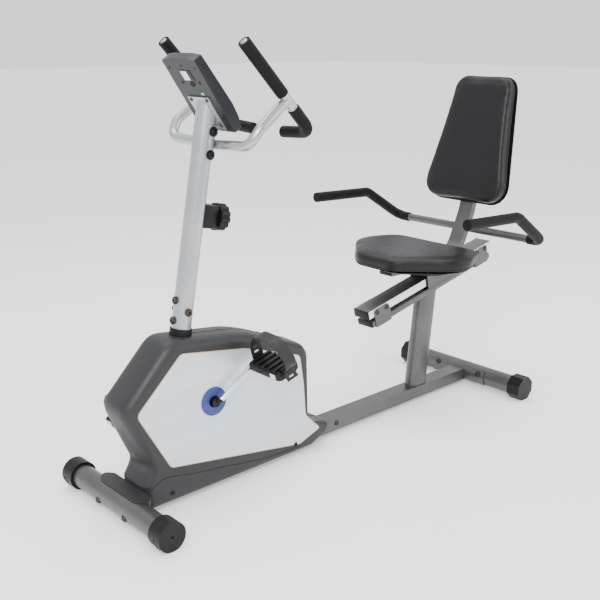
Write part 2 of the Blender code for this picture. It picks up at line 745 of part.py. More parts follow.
def drive_pulley():
    low, high = PULLEY_Y
    rim, hub, bore = DRIVE_PULLEY_R, 0.020, AXLE_R + GAP
    profile = [(rim, high), (rim, low), (rim - 0.008, low), (rim - 0.008, low + 0.004), (hub, low + 0.004)]
    profile += [(hub, low), (bore, low), (bore, high), (hub, high), (hub, high - 0.004)]
    profile += [(rim - 0.008, high - 0.004), (rim - 0.008, high)]
    turned("drive_pulley", profile, (CRANK_X, 0, CRANK_Z), BLACK_PLASTIC, steps=40)


def flywheel():
    low, high = FLYWHEEL_Y
    belt_low, belt_high = PULLEY_Y
    bore = FLYWHEEL_AXLE_R + GAP
    profile = [(SMALL_PULLEY_R, belt_high), (SMALL_PULLEY_R, belt_low), (0.014, belt_low), (0.014, high)]
    profile += [(FLYWHEEL_R, high), (FLYWHEEL_R, low), (bore, low), (bore, belt_high)]
    turned("flywheel", profile, (FLYWHEEL_X, 0, FLYWHEEL_Z), CAST_IRON, steps=40)


def flywheel_axle():
    left, right = -0.0213, 0.0463
    made = cylinder(
        "flywheel_axle", (FLYWHEEL_X, left - 0.006, FLYWHEEL_Z), (FLYWHEEL_X, right + 0.006, FLYWHEEL_Z),
        FLYWHEEL_AXLE_R, STEEL, sides=16,
    )
    for name, inner, outer in (
        ("axle_nut_left", left - GAP, left - 0.005),
        ("axle_nut_right", right + GAP, right + 0.005),
    ):
        join(made, cylinder(name, (FLYWHEEL_X, inner, FLYWHEEL_Z), (FLYWHEEL_X, outer, FLYWHEEL_Z), 0.010, sides=6))
    return made


def belt_outline(extra):
    """The loop round both pulleys, at a distance from their rims."""
    big, small = Vector((CRANK_X, CRANK_Z)), Vector((FLYWHEEL_X, FLYWHEEL_Z))
    apart = small - big
    heading = math.degrees(math.atan2(apart.y, apart.x))
    wrap = math.degrees(math.acos((DRIVE_PULLEY_R - SMALL_PULLEY_R) / apart.length))
    loop = arc(big, DRIVE_PULLEY_R + extra, heading + wrap, heading + 360 - wrap, 24)
    return loop + arc(small, SMALL_PULLEY_R + extra, heading - wrap, heading + wrap, 10)


def drive_belt():
    low, high = PULLEY_Y
    made = prism("drive_belt", belt_outline(RUNNING_GAP + BELT_THICKNESS), low + 0.001, high - 0.001, look=RUBBER)
    cut(made, prism("belt_inside", belt_outline(RUNNING_GAP), low - 0.01, high + 0.01))


def magnet_hook():
    """The tab on the magnet bracket that the cable pulls."""
    angle = math.radians(105)
    radius = FLYWHEEL_R + MAGNET_GAP + MAGNET_THICKNESS + 0.007
    return FLYWHEEL_X + radius * math.cos(angle), FLYWHEEL_Z + radius * math.sin(angle)


def magnet_bracket():
    """A curved arm with its magnets over the flywheel's rim, hinged at its front end."""
    inner = FLYWHEEL_R + MAGNET_GAP
    start, end = MAGNET_ARC
    centre = (FLYWHEEL_X, FLYWHEEL_Z)
    outline = arc(centre, inner + MAGNET_THICKNESS, start, end, 12) + arc(centre, inner, end, start, 12)
    made = prism("magnet_bracket", outline, -0.0175, 0.0095, look=STEEL)
    hook_x, hook_z = magnet_hook()
    hook = box("magnet_hook", (hook_x - 0.004, -0.004, hook_z - 0.010), (hook_x + 0.004, 0.004, hook_z))
    pivot_x, pivot_z = magnet_pivot()
    bore = cylinder("magnet_bore", (pivot_x, -0.05, pivot_z), (pivot_x, 0.05, pivot_z), 0.003 + GAP, sides=12)
    cut(join(made, hook), bore)
    for piece in (made, hook, bore):
        origin_at(piece, (pivot_x, 0, pivot_z))


# ---------------------------------------------------------------- cranks and pedals
def crank(side, sign):
    """A bent rod from the axle's end to the pedal spindle. The left arm points up and back, the right down."""
    direction = Vector((math.cos(CRANK_ANGLE), 0, math.sin(CRANK_ANGLE))) * -sign
    centre = Vector((CRANK_X, 0, CRANK_Z))
    end = centre + direction * CRANK_LENGTH
    arm_y = sign * CRANK_ARM_Y
    route = [
        (*(centre + Vector((0, sign * 0.066, 0))), 0),
        (*(centre + direction * 0.012 + Vector((0, arm_y, 0))), 0.014),
        (*(end + Vector((0, arm_y + sign * 0.004, 0))), 0),
    ]
    made = tube("crank_" + side, rounded_route(route, 5), CRANK_ROD_R, CHROME)
    boss = cylinder(
        "crank_boss_" + side,
        centre + Vector((0, sign * 0.0545, 0)),
        centre + Vector((0, sign * 0.0735, 0)),
        0.0125,
    )
    eye = cylinder(
        "crank_eye_" + side,
        end + Vector((0, sign * (CRANK_ARM_Y - 0.006), 0)),
        end + Vector((0, sign * (PEDAL_INNER_Y - STRAP_THICKNESS - 3 * GAP), 0)),
        0.0115,
    )
    spindle = cylinder(
        "spindle_" + side,
        end + Vector((0, sign * CRANK_ARM_Y, 0)),
        end + Vector((0, sign * (PEDAL_INNER_Y + PEDAL_WIDTH - 0.012), 0)),
        SPINDLE_R,
        sides=16,
    )
    axle_space = cylinder(
        "axle_space_" + side,
        centre + Vector((0, sign * 0.045, 0)),
        centre + Vector((0, sign * (0.0655 + GAP), 0)),
        AXLE_R + GAP,
    )
    cut(join(made, boss, eye, spindle), axle_space)
    for piece in (made, boss, eye, spindle, axle_space):
        origin_at(piece, centre)
    return end


def crank_disc(side, sign):
    low, high = sorted((sign * (SHROUD_HALF + PANEL_THICKNESS + 2 * GAP), sign * (SHROUD_HALF + 0.005)))
    profile = [(0.0375, high), (0.0375, low), (0.0150, low), (0.0150, high)]
    turned("crank_disc_" + side, profile, (CRANK_X, 0, CRANK_Z), BLUE_PLASTIC, steps=40)


def pedal(side, sign, spindle_end):
    """A ribbed block that turns on the spindle."""
    x, z = spindle_end.x, spindle_end.z
    inner, outer = sign * PEDAL_INNER_Y, sign * (PEDAL_INNER_Y + PEDAL_WIDTH)
    low_y, high_y = min(inner, outer), max(inner, outer)
    half, top, bottom = PEDAL_LENGTH / 2, z + PEDAL_THICKNESS / 2, z - PEDAL_THICKNESS / 2
    section = [
        (x - half, bottom + 0.006, 0.004),
        (x - half + 0.014, bottom, 0.004),
        (x + half - 0.014, bottom, 0.004),
        (x + half, bottom + 0.006, 0.004),
        (x + half, top - 0.003, 0.002),
        (x + half - 0.006, top, 0.002),
        (x - half + 0.006, top, 0.002),
        (x - half, top - 0.003, 0.002),
    ]
    made = prism("pedal_" + side, rounded_outline(section, 2), low_y, high_y, look=BLACK_PLASTIC)
    pieces = [made]
    ridges = 5
    for i in range(ridges):
        middle = low_y + PEDAL_WIDTH * (i + 0.5) / ridges
        ridge = box(
            f"pedal_ridge_{side}_{i}", (x - half + 0.004, middle - 0.004, top - 0.002), (x + half - 0.004, middle + 0.004, top + 0.004)
        )
        join(made, ridge)
        pieces.append(ridge)
    bore = cylinder(
        "pedal_bore_" + side,
        (x, inner - sign * 0.02, z),
        (x, outer - sign * 0.010, z),
        SPINDLE_R + GAP,
        sides=16,
    )
    cut(made, bore)
    for piece in [*pieces, bore]:
        tilted(piece, spindle_end)
    pedal_strap(side, sign, spindle_end)


def tilted(piece, spindle_end):
    origin_at(piece, spindle_end).rotation_euler = (0, PEDAL_TILT, 0)


def pedal_strap(side, sign, spindle_end):
    """A strap that loops over the foot from the pedal's inner side to a buckle and tail on its outer side."""
    z = spindle_end.z
    inner = PEDAL_INNER_Y - STRAP_THICKNESS / 2 - GAP
    outer = PEDAL_INNER_Y + PEDAL_WIDTH + STRAP_THICKNESS / 2 + GAP
    top = z + STRAP_RISE
    route = rounded_route(
        [
            (inner, z - 0.012, 0, 0),
            (inner - 0.001, z + 0.050, 0, 0.04),
            (inner + 0.022, top, 0, 0.045),
            (outer - 0.016, top - 0.004, 0, 0.045),
            (outer + 0.026, z + 0.034, 0, 0.05),
            (outer + 0.003, z + 0.004, 0, 0.015),
            (outer + 0.016, z - 0.014, 0, 0),
        ],
        4,
    )
    outline = [(sign * a, b) for a, b in band([p.xy for p in route], STRAP_THICKNESS)]
    x = spindle_end.x
    made = prism("pedal_strap_" + side, outline, x - STRAP_WIDTH / 2, x + STRAP_WIDTH / 2, "X", RUBBER)
    spindle_way = cylinder(
        "strap_spindle_way_" + side,
        (spindle_end.x, sign * (inner - 0.01), z),
        (spindle_end.x, sign * (inner + 0.01), z),
        SPINDLE_R + 0.001,
        sides=16,
    )
    cut(made, spindle_way)
    tilted(made, spindle_end)
    tilted(spindle_way, spindle_end)


# ---------------------------------------------------------------- shroud
# Corners of the shroud as (distance behind FRONT_X, z, radius), seen from the side: first on the seam
# between the halves, then on the side face where the rounding ends.
SEAM_CORNERS = [
    (-0.0135, 0.2845, 0.040),
    (0.060, 0.118, 0.035),
    (0.037, 0.078, 0.006),
    (0.037, 0.0105, 0.010),
    (0.5975, 0.0105, 0.040),
    (0.655, 0.045, 0.010),
    (0.6605, 0.067, 0.008),
    (0.5775, 0.093, 0.035),
    (0.5765, 0.317, 0.045),
    (0.3625, 0.401, 0.350),
    (0.1275, 0.430, 0.050),
]
FACE_CORNERS = [
    (0.016, 0.280, 0.022),
    (0.083, 0.115, 0.030),
    (0.058, 0.078, 0.006),
    (0.058, 0.028, 0.008),
    (0.580, 0.028, 0.030),
    (0.632, 0.045, 0.008),
    (0.638, 0.057, 0.006),
    (0.566, 0.103, 0.030),
    (0.558, 0.301, 0.030),
    (0.356, 0.377, 0.300),
    (0.146, 0.405, 0.030),
]
# The line between the upper halves and the lower cover, at its height on the side faces.
COVER_LINE = [
    (0.020, 0.071),
    (0.0565, 0.071),
    (0.0925, 0.089),
    (0.1935, 0.069),
    (0.2575, 0.063),
    (0.4195, 0.033),
    (0.5365, 0.030),
]
PANEL_CORNERS = [
    (0.0215, 0.272, 0.018),
    (0.1115, 0.110, 0.018),
    (0.5375, 0.037, 0.010),
    (0.6155, 0.064, 0.006),
    (0.5600, 0.118, 0.030),
    (0.5520, 0.215, 0.100),
    (0.5380, 0.300, 0.020),
    (0.356, 0.364, 0.300),
    (0.1530, 0.397, 0.022),
]


def behind_front(corners):
    return [(FRONT_X + corner[0], *corner[1:]) for corner in corners]


def shroud_ring(blend):
    corners = [
        tuple(a + (b - a) * blend for a, b in zip(seam, face))
        for seam, face in zip(behind_front(SEAM_CORNERS), behind_front(FACE_CORNERS))
    ]
    return rounded_outline(corners, 3)


def shroud_surface(name, start, look=None):
    """The shroud's skin from start, a y near the seam, to the left side face; Solidify gives it its wall."""
    turns = [math.radians(a) for a in (0, 22.5, 45, 67.5, 90)]
    flat = SHROUD_HALF - SHROUD_ROUNDING
    rings = [(0.0, start)] + [
        (1 - math.cos(a), -flat - SHROUD_ROUNDING * math.sin(a)) for a in turns
    ]
    shape = bmesh.new()
    loops = [[shape.verts.new((x, y, z)) for x, z in shroud_ring(blend)] for blend, y in rings]
    for near, far in zip(loops, loops[1:]):
        for i in range(len(near)):
            shape.faces.new((near[i - 1], near[i], far[i], far[i - 1]))
    shape.faces.new(loops[-1])
    bmesh.ops.recalc_face_normals(shape, faces=shape.faces)
    mesh = bpy.data.meshes.new(name)
    shape.to_mesh(mesh)
    shape.free()
    return add_object(name, mesh, look)


def solidify(made):
    wall = made.modifiers.new("wall", "SOLIDIFY")
    wall.thickness = SHROUD_WALL
    wall.offset = -1
    wall.use_even_offset = True
    return made


def facing_out(made):
    """An open skin's normals turned outwards, judged by its side face."""
    side = max(made.data.polygons, key=lambda face: face.area)
    if side.normal.y * side.center.y < 0:
        made.data.flip_normals()
    return made


def mirrored(source, name, look=None):
    """A copy of the left-hand mesh on the right."""
    mesh = source.data.copy()
    mesh.transform(Matrix.Scale(-1, 4, (0, 1, 0)))
    mesh.flip_normals()
    mesh.materials.clear()
    return add_object(name, mesh, look)


def cover_outline(raised):
    """The region of the lower cover, with its upper line raised by a gap."""
    line = [(x, z + raised) for x, z in behind_front(COVER_LINE)]
    end_x = line[-1][0] + raised
    return [*line[:-1], (end_x, line[-1][1]), (end_x, -0.05), (line[0][0], -0.05)]


def shroud():
    left = solidify(facing_out(shroud_surface("shroud_left", -GAP / 2, SHROUD_PLASTIC)))
    right = solidify(mirrored(left, "shroud_right", SHROUD_PLASTIC))
    below = prism("below_cover_line", cover_outline(GAP), -0.1, 0.1)
    mast_hole = cylinder("shroud_mast_hole", in_frame_point(-0.10), in_frame_point(0.02), MAST_R + COLLAR_WALL + GAP, frame=MAST)
    crank_hole = cylinder(
        "shroud_crank_hole", (CRANK_X, -0.09, CRANK_Z), (CRANK_X, 0.09, CRANK_Z), 0.0165
    )
    frame_exit = box(
        "shroud_frame_exit",
        (FRONT_X - 0.05, -FRAME_HALF_WIDTH - GAP, FRAME_BOTTOM_Z - GAP),
        (FRONT_X + 0.75, FRAME_HALF_WIDTH + GAP, FRAME_TOP_Z + GAP),
    )
    screw_hole = cylinder(
        "shroud_screw_hole", (FRONT_X + 0.5215, -0.09, 0.043), (FRONT_X + 0.5215, 0.09, 0.043), 0.0035, sides=12
    )
    for half in (left, right):
        cut(half, below, mast_hole, crank_hole, frame_exit, screw_hole)
    lower_cover(frame_exit)


def lower_cover(frame_exit):
    """The belly pan under both halves."""
    skin = facing_out(shroud_surface("lower_cover", 0.0, SHROUD_PLASTIC))
    mirror = skin.modifiers.new("both_sides", "MIRROR")
    mirror.use_axis = (False, True, False)
    mirror.merge_threshold = 1e-5
    solidify(skin)
    region = prism("cover_region", cover_outline(0.0), -0.1, 0.1)
    hole_x = FRONT_X + 0.1135
    screw_hole = cylinder("cover_screw_hole", (hole_x, -0.09, 0.040), (hole_x, 0.09, 0.040), 0.004, sides=12)
    cut(boolean(skin, "INTERSECT", region), frame_exit, screw_hole)


def side_panel(side, sign):
    low, high = sorted((sign * (SHROUD_HALF + GAP), sign * (SHROUD_HALF + GAP + PANEL_THICKNESS)))
    outline = rounded_outline(behind_front(PANEL_CORNERS), 4)
    made = prism("side_panel_" + side, outline, low, high, look=PANEL_SILVER)
    hole = cylinder("panel_hole_" + side, (CRANK_X, low - 0.02, CRANK_Z), (CRANK_X, high + 0.02, CRANK_Z), 0.0165)
    screw = cylinder(
        "panel_screw_" + side, (FRONT_X + 0.5215, low - 0.02, 0.043), (FRONT_X + 0.5215, high + 0.02, 0.043), 0.0035, sides=12
    )
    cut(made, hole, screw)


def foot_cover(side, sign):
    """A cap over the front floor tube that closes the shroud's foot on one side."""
    centre = (FRONT_X, FOOT_AXIS_Z)
    inner = arc(centre, FOOT_TUBE_R + GAP, 40, 105, 8)
    outer = [(-0.0090, 0.0685), (0.008, 0.0697), (0.022, 0.0700), (0.0362, 0.0700), (0.0362, 0.0600)]
    outline = inner + behind_front(outer)
    low, high = sorted((sign * GAP / 2, sign * 0.107))
    made = prism("foot_cover_" + side, outline, low, high, look=SHROUD_PLASTIC)
    plan = [
        (FRONT_X - 0.03, sign * -0.01, 0),
        (FRONT_X - 0.0088, sign * -0.01, 0),
        (FRONT_X - 0.0088, sign * 0.080, 0.030),
        (FRONT_X + 0.018, sign * 0.1065, 0.012),
        (FRONT_X + 0.050, sign * 0.062, 0.010),
        (FRONT_X + 0.050, sign * -0.01, 0),
    ][1:]
    boolean(made, "INTERSECT", prism("foot_cover_plan_" + side, rounded_outline(plan), 0.0, 0.2, "Z"))


# ---------------------------------------------------------------- console
def console_side_outline():
    """The console's side view in its own frame: x towards the rider, z up its face."""
    return [
        (0.0, CONSOLE_BOTTOM, 0.003),
        (0.020, CONSOLE_BOTTOM - 0.006, 0.006),
        (0.0310, CONSOLE_BOTTOM + 0.024, 0.015),
        (0.0335, 0.010, 0.030),
        (0.0231, CONSOLE_TOP + 0.008, 0.006),
        (0.0, CONSOLE_TOP + 0.006, 0.003),
    ]


def console_front_outline(inset):
    """The console's front view, with an arched top."""
    half, top, bottom = CONSOLE_HALF_WIDTH - inset, CONSOLE_TOP - inset, CONSOLE_BOTTOM - 0.006 + inset
    return [
        (-half, bottom, 0.010),
        (half, bottom, 0.010),
        (half, top, 0.006),
        (half * 0.55, top + 0.0045, 0.05),
        (-half * 0.55, top + 0.0045, 0.05),
        (-half, top, 0.006),
    ]


def console_body(name, look=None, inset=0.0):
    """The whole console's solid, or the hollow inside its walls."""
    side = console_side_outline()
    if inset:
        side = [(x - inset if x > 0.01 else x - 0.05, z, r) for x, z, r in side]
    half = CONSOLE_HALF_WIDTH + 0.01
    made = prism(name, rounded_outline(side), -half, half, look=look, frame=CONSOLE)
    front = prism(name + "_front_view", rounded_outline(console_front_outline(inset)), -0.2, 0.2, "X", frame=CONSOLE)
    return boolean(made, "INTERSECT", front)


FACE_TILT = math.atan2(0.0335 - 0.0231, CONSOLE_TOP + 0.008 - 0.010)
FACE = empty("console_face", (0.0335 - 0.075 * math.tan(FACE_TILT), 0, 0.085), -FACE_TILT)
FACE.parent = CONSOLE
BUTTON_DROP = 0.052  # the button below the display's middle
BUTTON_R = 0.008


def console():
    split = CONSOLE_BACK_DEPTH
    front = console_body("console_front", CONSOLE_PLASTIC)
    behind = box("behind_split", (-0.05, -0.1, -0.2), (split + GAP, 0.1, 0.3), frame=CONSOLE)
    hollow = console_body("console_hollow", inset=CONSOLE_WALL)
    window = box("display_window", (-0.0023, -0.0453, -0.0273), (0.02, 0.0453, 0.0273), frame=FACE)
    button_hole = cylinder("button_hole", (-0.012, 0, -BUTTON_DROP), (0.02, 0, -BUTTON_DROP), BUTTON_R + GAP, frame=FACE)
    cut(front, behind, hollow, window, button_hole)
    box("display_lens", (-0.0020, -0.045, -0.027), (-0.0002, 0.045, 0.027), LENS, FACE)
    button = cylinder("mode_button", (-0.0030, 0, -BUTTON_DROP), (0.0020, 0, -BUTTON_DROP), BUTTON_R, RUBBER, FACE)
    flange = cylinder("button_flange", (-0.0052, 0, -BUTTON_DROP), (-0.0028, 0, -BUTTON_DROP), BUTTON_R + 0.002, frame=FACE)
    origin_at(join(button, flange), (0, 0, -BUTTON_DROP))
    origin_at(flange, (0, 0, -BUTTON_DROP))

    back = console_body("console_back", CONSOLE_PLASTIC)
    ahead = box("ahead_of_split", (split, -0.1, -0.2), (0.1, 0.1, 0.3), frame=CONSOLE)
    back_hollow = prism(
        "console_back_hollow", rounded_outline(console_front_outline(CONSOLE_WALL)), CONSOLE_WALL, 0.1, "X", frame=CONSOLE
    )
    cut(back, ahead, back_hollow)
    box(
        "console_plate",
        (-PLATE_THICKNESS - GAP, -PLATE_HALF_WIDTH, -0.043),
        (-GAP, PLATE_HALF_WIDTH, 0.0495),
        SILVER_PAINT,
        CONSOLE,
    )


# ---------------------------------------------------------------- front handlebar
def bar_corners():
    """The left grip bar: from its upper end, down and back, then inwards."""
    return [
        (FRONT_X + 0.2880, -0.155, 1.110, 0),
        (FRONT_X + 0.4860, -0.155, 0.903, 0.032),
        (FRONT_X + 0.4840, -0.062, 0.898, 0),
    ]


def yoke_corners():
    """Half of the tube that carries both grip bars, from the middle outwards to the left bar."""
    join_x = FRONT_X + 0.4105
    start, corner = Vector(bar_corners()[0][:3]), Vector(bar_corners()[1][:3])
    join_z = start.z + (corner.z - start.z) * (join_x - start.x) / (corner.x - start.x)
    return [
        (FRONT_X + 0.3165, 0.0, 0.873, 0),
        (FRONT_X + 0.2965, -0.152, 0.883, 0.080),
        (FRONT_X + 0.3205, -0.163, 0.921, 0.060),
        (join_x, -0.155, join_z, 0),
    ]


def on_right(corners):
    return [(x, -y, z, r) for x, y, z, r in corners]


def handlebar():
    route_left = rounded_route(yoke_corners(), 5)
    whole = [Vector((p.x, -p.y, p.z)) for p in reversed(route_left)] + route_left[1:]
    made = tube("handlebar", whole, BAR_R, SILVER_PAINT)
    bores = [tube("yoke_bore", whole, BAR_R - BAR_WALL)]
    for side, corners in (("left", bar_corners()), ("right", on_right(bar_corners()))):
        route = rounded_route(corners, 6)
        join(made, tube("grip_bar_" + side, route, BAR_R))
        longer = trimmed([*reversed(trimmed(route, -0.02))], -0.02)
        bores.append(tube("grip_bar_bore_" + side, longer, BAR_R - BAR_WALL))
    yoke_height = in_frame(MAST, (FRONT_X + 0.3165, 0, 0.873)).z
    ring = arc((0, 0), MAST_R + GAP + SADDLE_WALL, -100, 100, 16) + arc((0, 0), MAST_R + 2 * GAP, 100, -100, 16)
    sleeve = prism("handlebar_sleeve", ring, yoke_height - 0.038, yoke_height + 0.040, "Z", frame=MAST)
    join(made, sleeve)
    cut(made, *bores)


def grip(name, route, radius, inside_radius):
    """A foam grip along a bar: open where the bar goes in, closed at the bar's end."""
    made = tube(name, trimmed(route, -GRIP_END), radius, BLACK_FOAM)
    start = (route[0] - route[1]).normalized() * 0.01
    inside = tube(name + "_inside", [route[0] + start, *route[1:-1], route[-1] + (route[-1] - route[-2]).normalized() * GAP], inside_radius)
    return cut(made, inside)


def hand_grips():
    for side, corners in (("left", bar_corners()), ("right", on_right(bar_corners()))):
        route = rounded_route(corners, 6)
        top, bend = route[0], Vector(corners[1][:3])
        down = (bend - top).normalized()
        straight = (bend - top).length
        upper_end = top + down * straight * 0.553
        grip("upper_grip_" + side, [upper_end, top + down * 0.05, top], HAND_GRIP_R, BAR_R + GAP)
        lower_start = top + down * straight * 0.715
        grip("lower_grip_" + side, [lower_start, *route[1:]], HAND_GRIP_R, BAR_R + GAP)


# ---------------------------------------------------------------- seat post and rails
def seat_post():
    half, radius = (POST_LENGTH_X - POST_WIDTH) / 2, POST_WIDTH / 2

    def section(shrink):
        return arc((half, 0), radius - shrink, -90, 90, 8) + arc((-half, 0), radius - shrink, 90, 270, 8)

    made = prism("seat_post", section(0), -0.05, 0.40, "Z", GREY_PAINT, POST)
    inside = prism("seat_post_inside", section(POST_WALL), -0.06, 0.41, "Z", frame=POST)
    under = -(RAIL_THICKNESS + BASE_RAIL_GAP + BASE_RAIL_THICKNESS + GAP)
    above_left, above_right = out_of_frame(RAIL, (-0.2, 0, under)), out_of_frame(RAIL, (0.2, 0, under))
    keep = [
        (above_left.x, FRAME_TOP_Z + GAP),
        (above_right.x, FRAME_TOP_Z + GAP),
        (above_right.x, above_right.z),
        (above_left.x, above_left.z),
    ]
    cut(boolean(made, "INTERSECT", prism("post_span", keep, -0.1, 0.1)), inside)


def rails():
    section = [
        (-RAIL_HALF_WIDTH, -RAIL_THICKNESS, 0.002),
        (RAIL_HALF_WIDTH, -RAIL_THICKNESS, 0.002),
        (RAIL_HALF_WIDTH, 0.0, 0.006),
        (-RAIL_HALF_WIDTH, 0.0, 0.006),
    ]
    end = RAIL_HALF_LENGTH
    made = prism("slide_rail", rounded_outline(section, 3), -end, end, "X", ALUMINIUM, RAIL)
    wall = RAIL_WALL
    inside = box(
        "slide_rail_inside",
        (-end - 0.01, -RAIL_HALF_WIDTH + wall, -RAIL_THICKNESS + wall),
        (end + 0.01, RAIL_HALF_WIDTH - wall, -wall - 0.001),
        frame=RAIL,
    )
    cut(made, inside)
    top = -(RAIL_THICKNESS + BASE_RAIL_GAP)
    low = top - BASE_RAIL_THICKNESS
    end -= BASE_RAIL_SHORTER
    base = box("base_rail", (-end, -RAIL_HALF_WIDTH, low), (end, RAIL_HALF_WIDTH, top), GREY_PAINT, RAIL, rounding=0.002)
    base_inside = box(
        "base_rail_inside",
        (-end - 0.01, -RAIL_HALF_WIDTH + FRAME_WALL, low + FRAME_WALL),
        (end + 0.01, RAIL_HALF_WIDTH - FRAME_WALL, top - FRAME_WALL),
        frame=RAIL,
    )
    cut(base, base_inside)


def rail_bracket(name, sign):
    """Two side plates and a strip under the base rail that hold both rails at one end."""
    outer = sign * (RAIL_HALF_LENGTH - BRACKET_INSET)
    inner = outer - sign * BRACKET_LENGTH
    bottom = -(RAIL_THICKNESS + BASE_RAIL_GAP + BASE_RAIL_THICKNESS + GAP + BRACKET_WALL)
    outline = rounded_outline(
        [
            (outer, -0.004, 0.008),
            (inner + sign * 0.006, -0.004, 0.010),
            (inner, -0.030, 0.004),
            (inner, bottom, 0.002),
            (outer, bottom, 0.004),
            (outer, -0.030, 0.004),
        ]
    )
    near, far = RAIL_HALF_WIDTH + GAP, RAIL_HALF_WIDTH + GAP + BRACKET_WALL
    made = prism(name, outline, -far, far, look=GREY_PAINT, frame=RAIL)
    low, high = min(inner, outer) - 0.01, max(inner, outer) + 0.01
    cut(made, box(name + "_inside", (low, -near, bottom + BRACKET_WALL), (high, near, 0.05), frame=RAIL))


# ---------------------------------------------------------------- seat carriage, seat frame and pads
def carriage():
    """A channel round the rail: side plates, a web over the rail, lips under it and a level seat plate."""
    start, end = CARRIAGE_FRONT, CARRIAGE_FRONT + CARRIAGE_LENGTH
    near = RAIL_HALF_WIDTH + RUNNING_GAP
    far = near + CARRIAGE_WALL
    plate_top = SEAT_TUBE_Z - SEAT_TUBE_THICKNESS / 2 - GAP
    front = in_frame(RAIL, (RAIL_X - 0.022, 0, plate_top))
    web_top = RUNNING_GAP + CARRIAGE_WALL
    level_end = in_frame(RAIL, (RAIL_X + 0.085, 0, plate_top))
    while level_end.z < web_top:
        level_end = in_frame(RAIL, out_of_frame(RAIL, level_end) - Vector((0.002, 0, 0)))
    lip = -(RAIL_THICKNESS + RUNNING_GAP + CARRIAGE_WALL)
    bottom = lip - 0.006
    outline = [
        (start, bottom),
        (end, bottom),
        (end, web_top),
        (level_end.x, level_end.z),
        (front.x, front.z),
        (start, 0.0),
    ]
    made = prism("seat_carriage", outline, -far, far, look=GREY_PAINT, frame=RAIL)
    rail_space = box("rail_space", (start - 0.01, -near, -RAIL_THICKNESS - RUNNING_GAP), (end + 0.01, near, RUNNING_GAP), frame=RAIL)
    under = box("under_rail_space", (start - 0.01, -0.018, bottom - 0.01), (end + 0.01, 0.018, -0.01), frame=RAIL)
    lips = box("under_lip_space", (start - 0.01, -near, bottom - 0.01), (end + 0.01, near, lip), frame=RAIL)
    level_low = plate_top - CARRIAGE_WALL
    wedge = [
        (*in_frame(RAIL, (RAIL_X - 0.05, 0, level_low)).xz,),
        (start - 0.02, web_top),
        (level_crossing(level_low, web_top), web_top),
    ]
    wedge_space = prism("wedge_space", wedge, -near, near, frame=RAIL)
    knob_hole = cylinder("lock_hole", (LOCK_ALONG, near - 0.004, LOCK_DOWN), (LOCK_ALONG, far + 0.02, LOCK_DOWN), 0.0055, frame=RAIL, sides=16)
    cut(made, rail_space, under, lips, wedge_space, knob_hole)


def level_crossing(height, web_top):
    """Where a level line at this height meets the web, along the rail."""
    low, high = -0.05, 0.15
    for _ in range(40):
        middle = (low + high) / 2
        if out_of_frame(RAIL, (middle, 0, web_top)).z < height:
            low = middle
        else:
            high = middle
    return low


LOCK_ALONG = CARRIAGE_FRONT + 0.090
LOCK_DOWN = -RAIL_THICKNESS / 2


def seat_lock_knob():
    """A screw through the carriage's right plate that clamps it on the rail."""
    inner = RAIL_HALF_WIDTH + 0.0006
    plate = RAIL_HALF_WIDTH + RUNNING_GAP + CARRIAGE_WALL
    rim = []
    for i in range(6):
        rim += arc((LOCK_ALONG, LOCK_DOWN), 0.020, 60 * i, 60 * i + 34, 3)
        rim += arc((LOCK_ALONG, LOCK_DOWN), 0.0165, 60 * i + 42, 60 * i + 52, 1)
    made = prism("seat_lock_knob", rim, plate + 0.006, plate + 0.024, look=BLACK_PLASTIC, frame=RAIL)
    screw = cylinder("lock_screw", (LOCK_ALONG, inner, LOCK_DOWN), (LOCK_ALONG, plate + 0.010, LOCK_DOWN), 0.005, frame=RAIL, sides=16)
    axis = (LOCK_ALONG, plate, LOCK_DOWN)
    origin_at(join(made, screw), axis)
    origin_at(screw, axis)


def seat_tube_route():
    """The seat frame's middle line in (x, z): level under the seat, then up behind it."""
    knee = Vector((KNEE_X, UPRIGHT_KNEE_Z))
    drop = knee.y - SEAT_TUBE_Z
    corner_x = knee.x - drop * math.tan(UPRIGHT_LEAN)
    top_x = knee.x + (UPRIGHT_TOP_Z - knee.y) * math.tan(BACK_LEAN)
    return rounded_route(
        [
            (REAR_X - SEAT_TUBE_FRONT_AHEAD, SEAT_TUBE_Z, 0, 0),
            (corner_x, SEAT_TUBE_Z, 0, 0.090),
            (knee.x, knee.y, 0, 0.150),
            (top_x, UPRIGHT_TOP_Z, 0, 0),
        ],
        8,
    )


def seat_frame():
    route = [p.xy for p in seat_tube_route()]
    half = SEAT_TUBE_HALF_WIDTH
    made = prism("seat_frame", band(route, SEAT_TUBE_THICKNESS), -half, half, look=GREY_PAINT)
    longer = [Vector((route[0].x - 0.02, route[0].y)), *route[1:-1]]
    longer.append(route[-1] + (route[-1] - route[-2]).normalized() * 0.02)
    half -= SEAT_TUBE_WALL
    inner = SEAT_TUBE_THICKNESS - 2 * SEAT_TUBE_WALL
    cut(made, prism("seat_frame_inside", band(longer, inner), -half, half))


def seat_cushion():
    """A flat pad with a rounded nose and top edge, drawn in underneath."""

    def plan(inset, z):
        rear = REAR_X - SEAT_REAR_AHEAD - inset
        front = REAR_X - SEAT_REAR_AHEAD - SEAT_LENGTH + inset
        half = SEAT_HALF_WIDTH - inset
        side = [(rear, 0.80 * half, 0.034), (rear - 0.144, 1.14 * half, 0.105), (front, 0.36 * half, 0.070)]
        corners = side + [(x, -y, r) for x, y, r in reversed(side)]
        return [(x, y, z) for x, y in rounded_outline(corners, 6)]

    top = SEAT_BOTTOM_Z + SEAT_THICKNESS
    rounding = SEAT_ROUNDING
    rings = [
        plan(0.035, SEAT_BOTTOM_Z),
        plan(0.003, SEAT_BOTTOM_Z + 0.012),
        plan(0.0, SEAT_BOTTOM_Z + 0.018),
        plan(0.0, top - rounding),
        plan(0.3 * rounding, top - 0.3 * rounding),
        plan(rounding, top),
    ]
    loft("seat_cushion", rings, BLACK_VINYL)


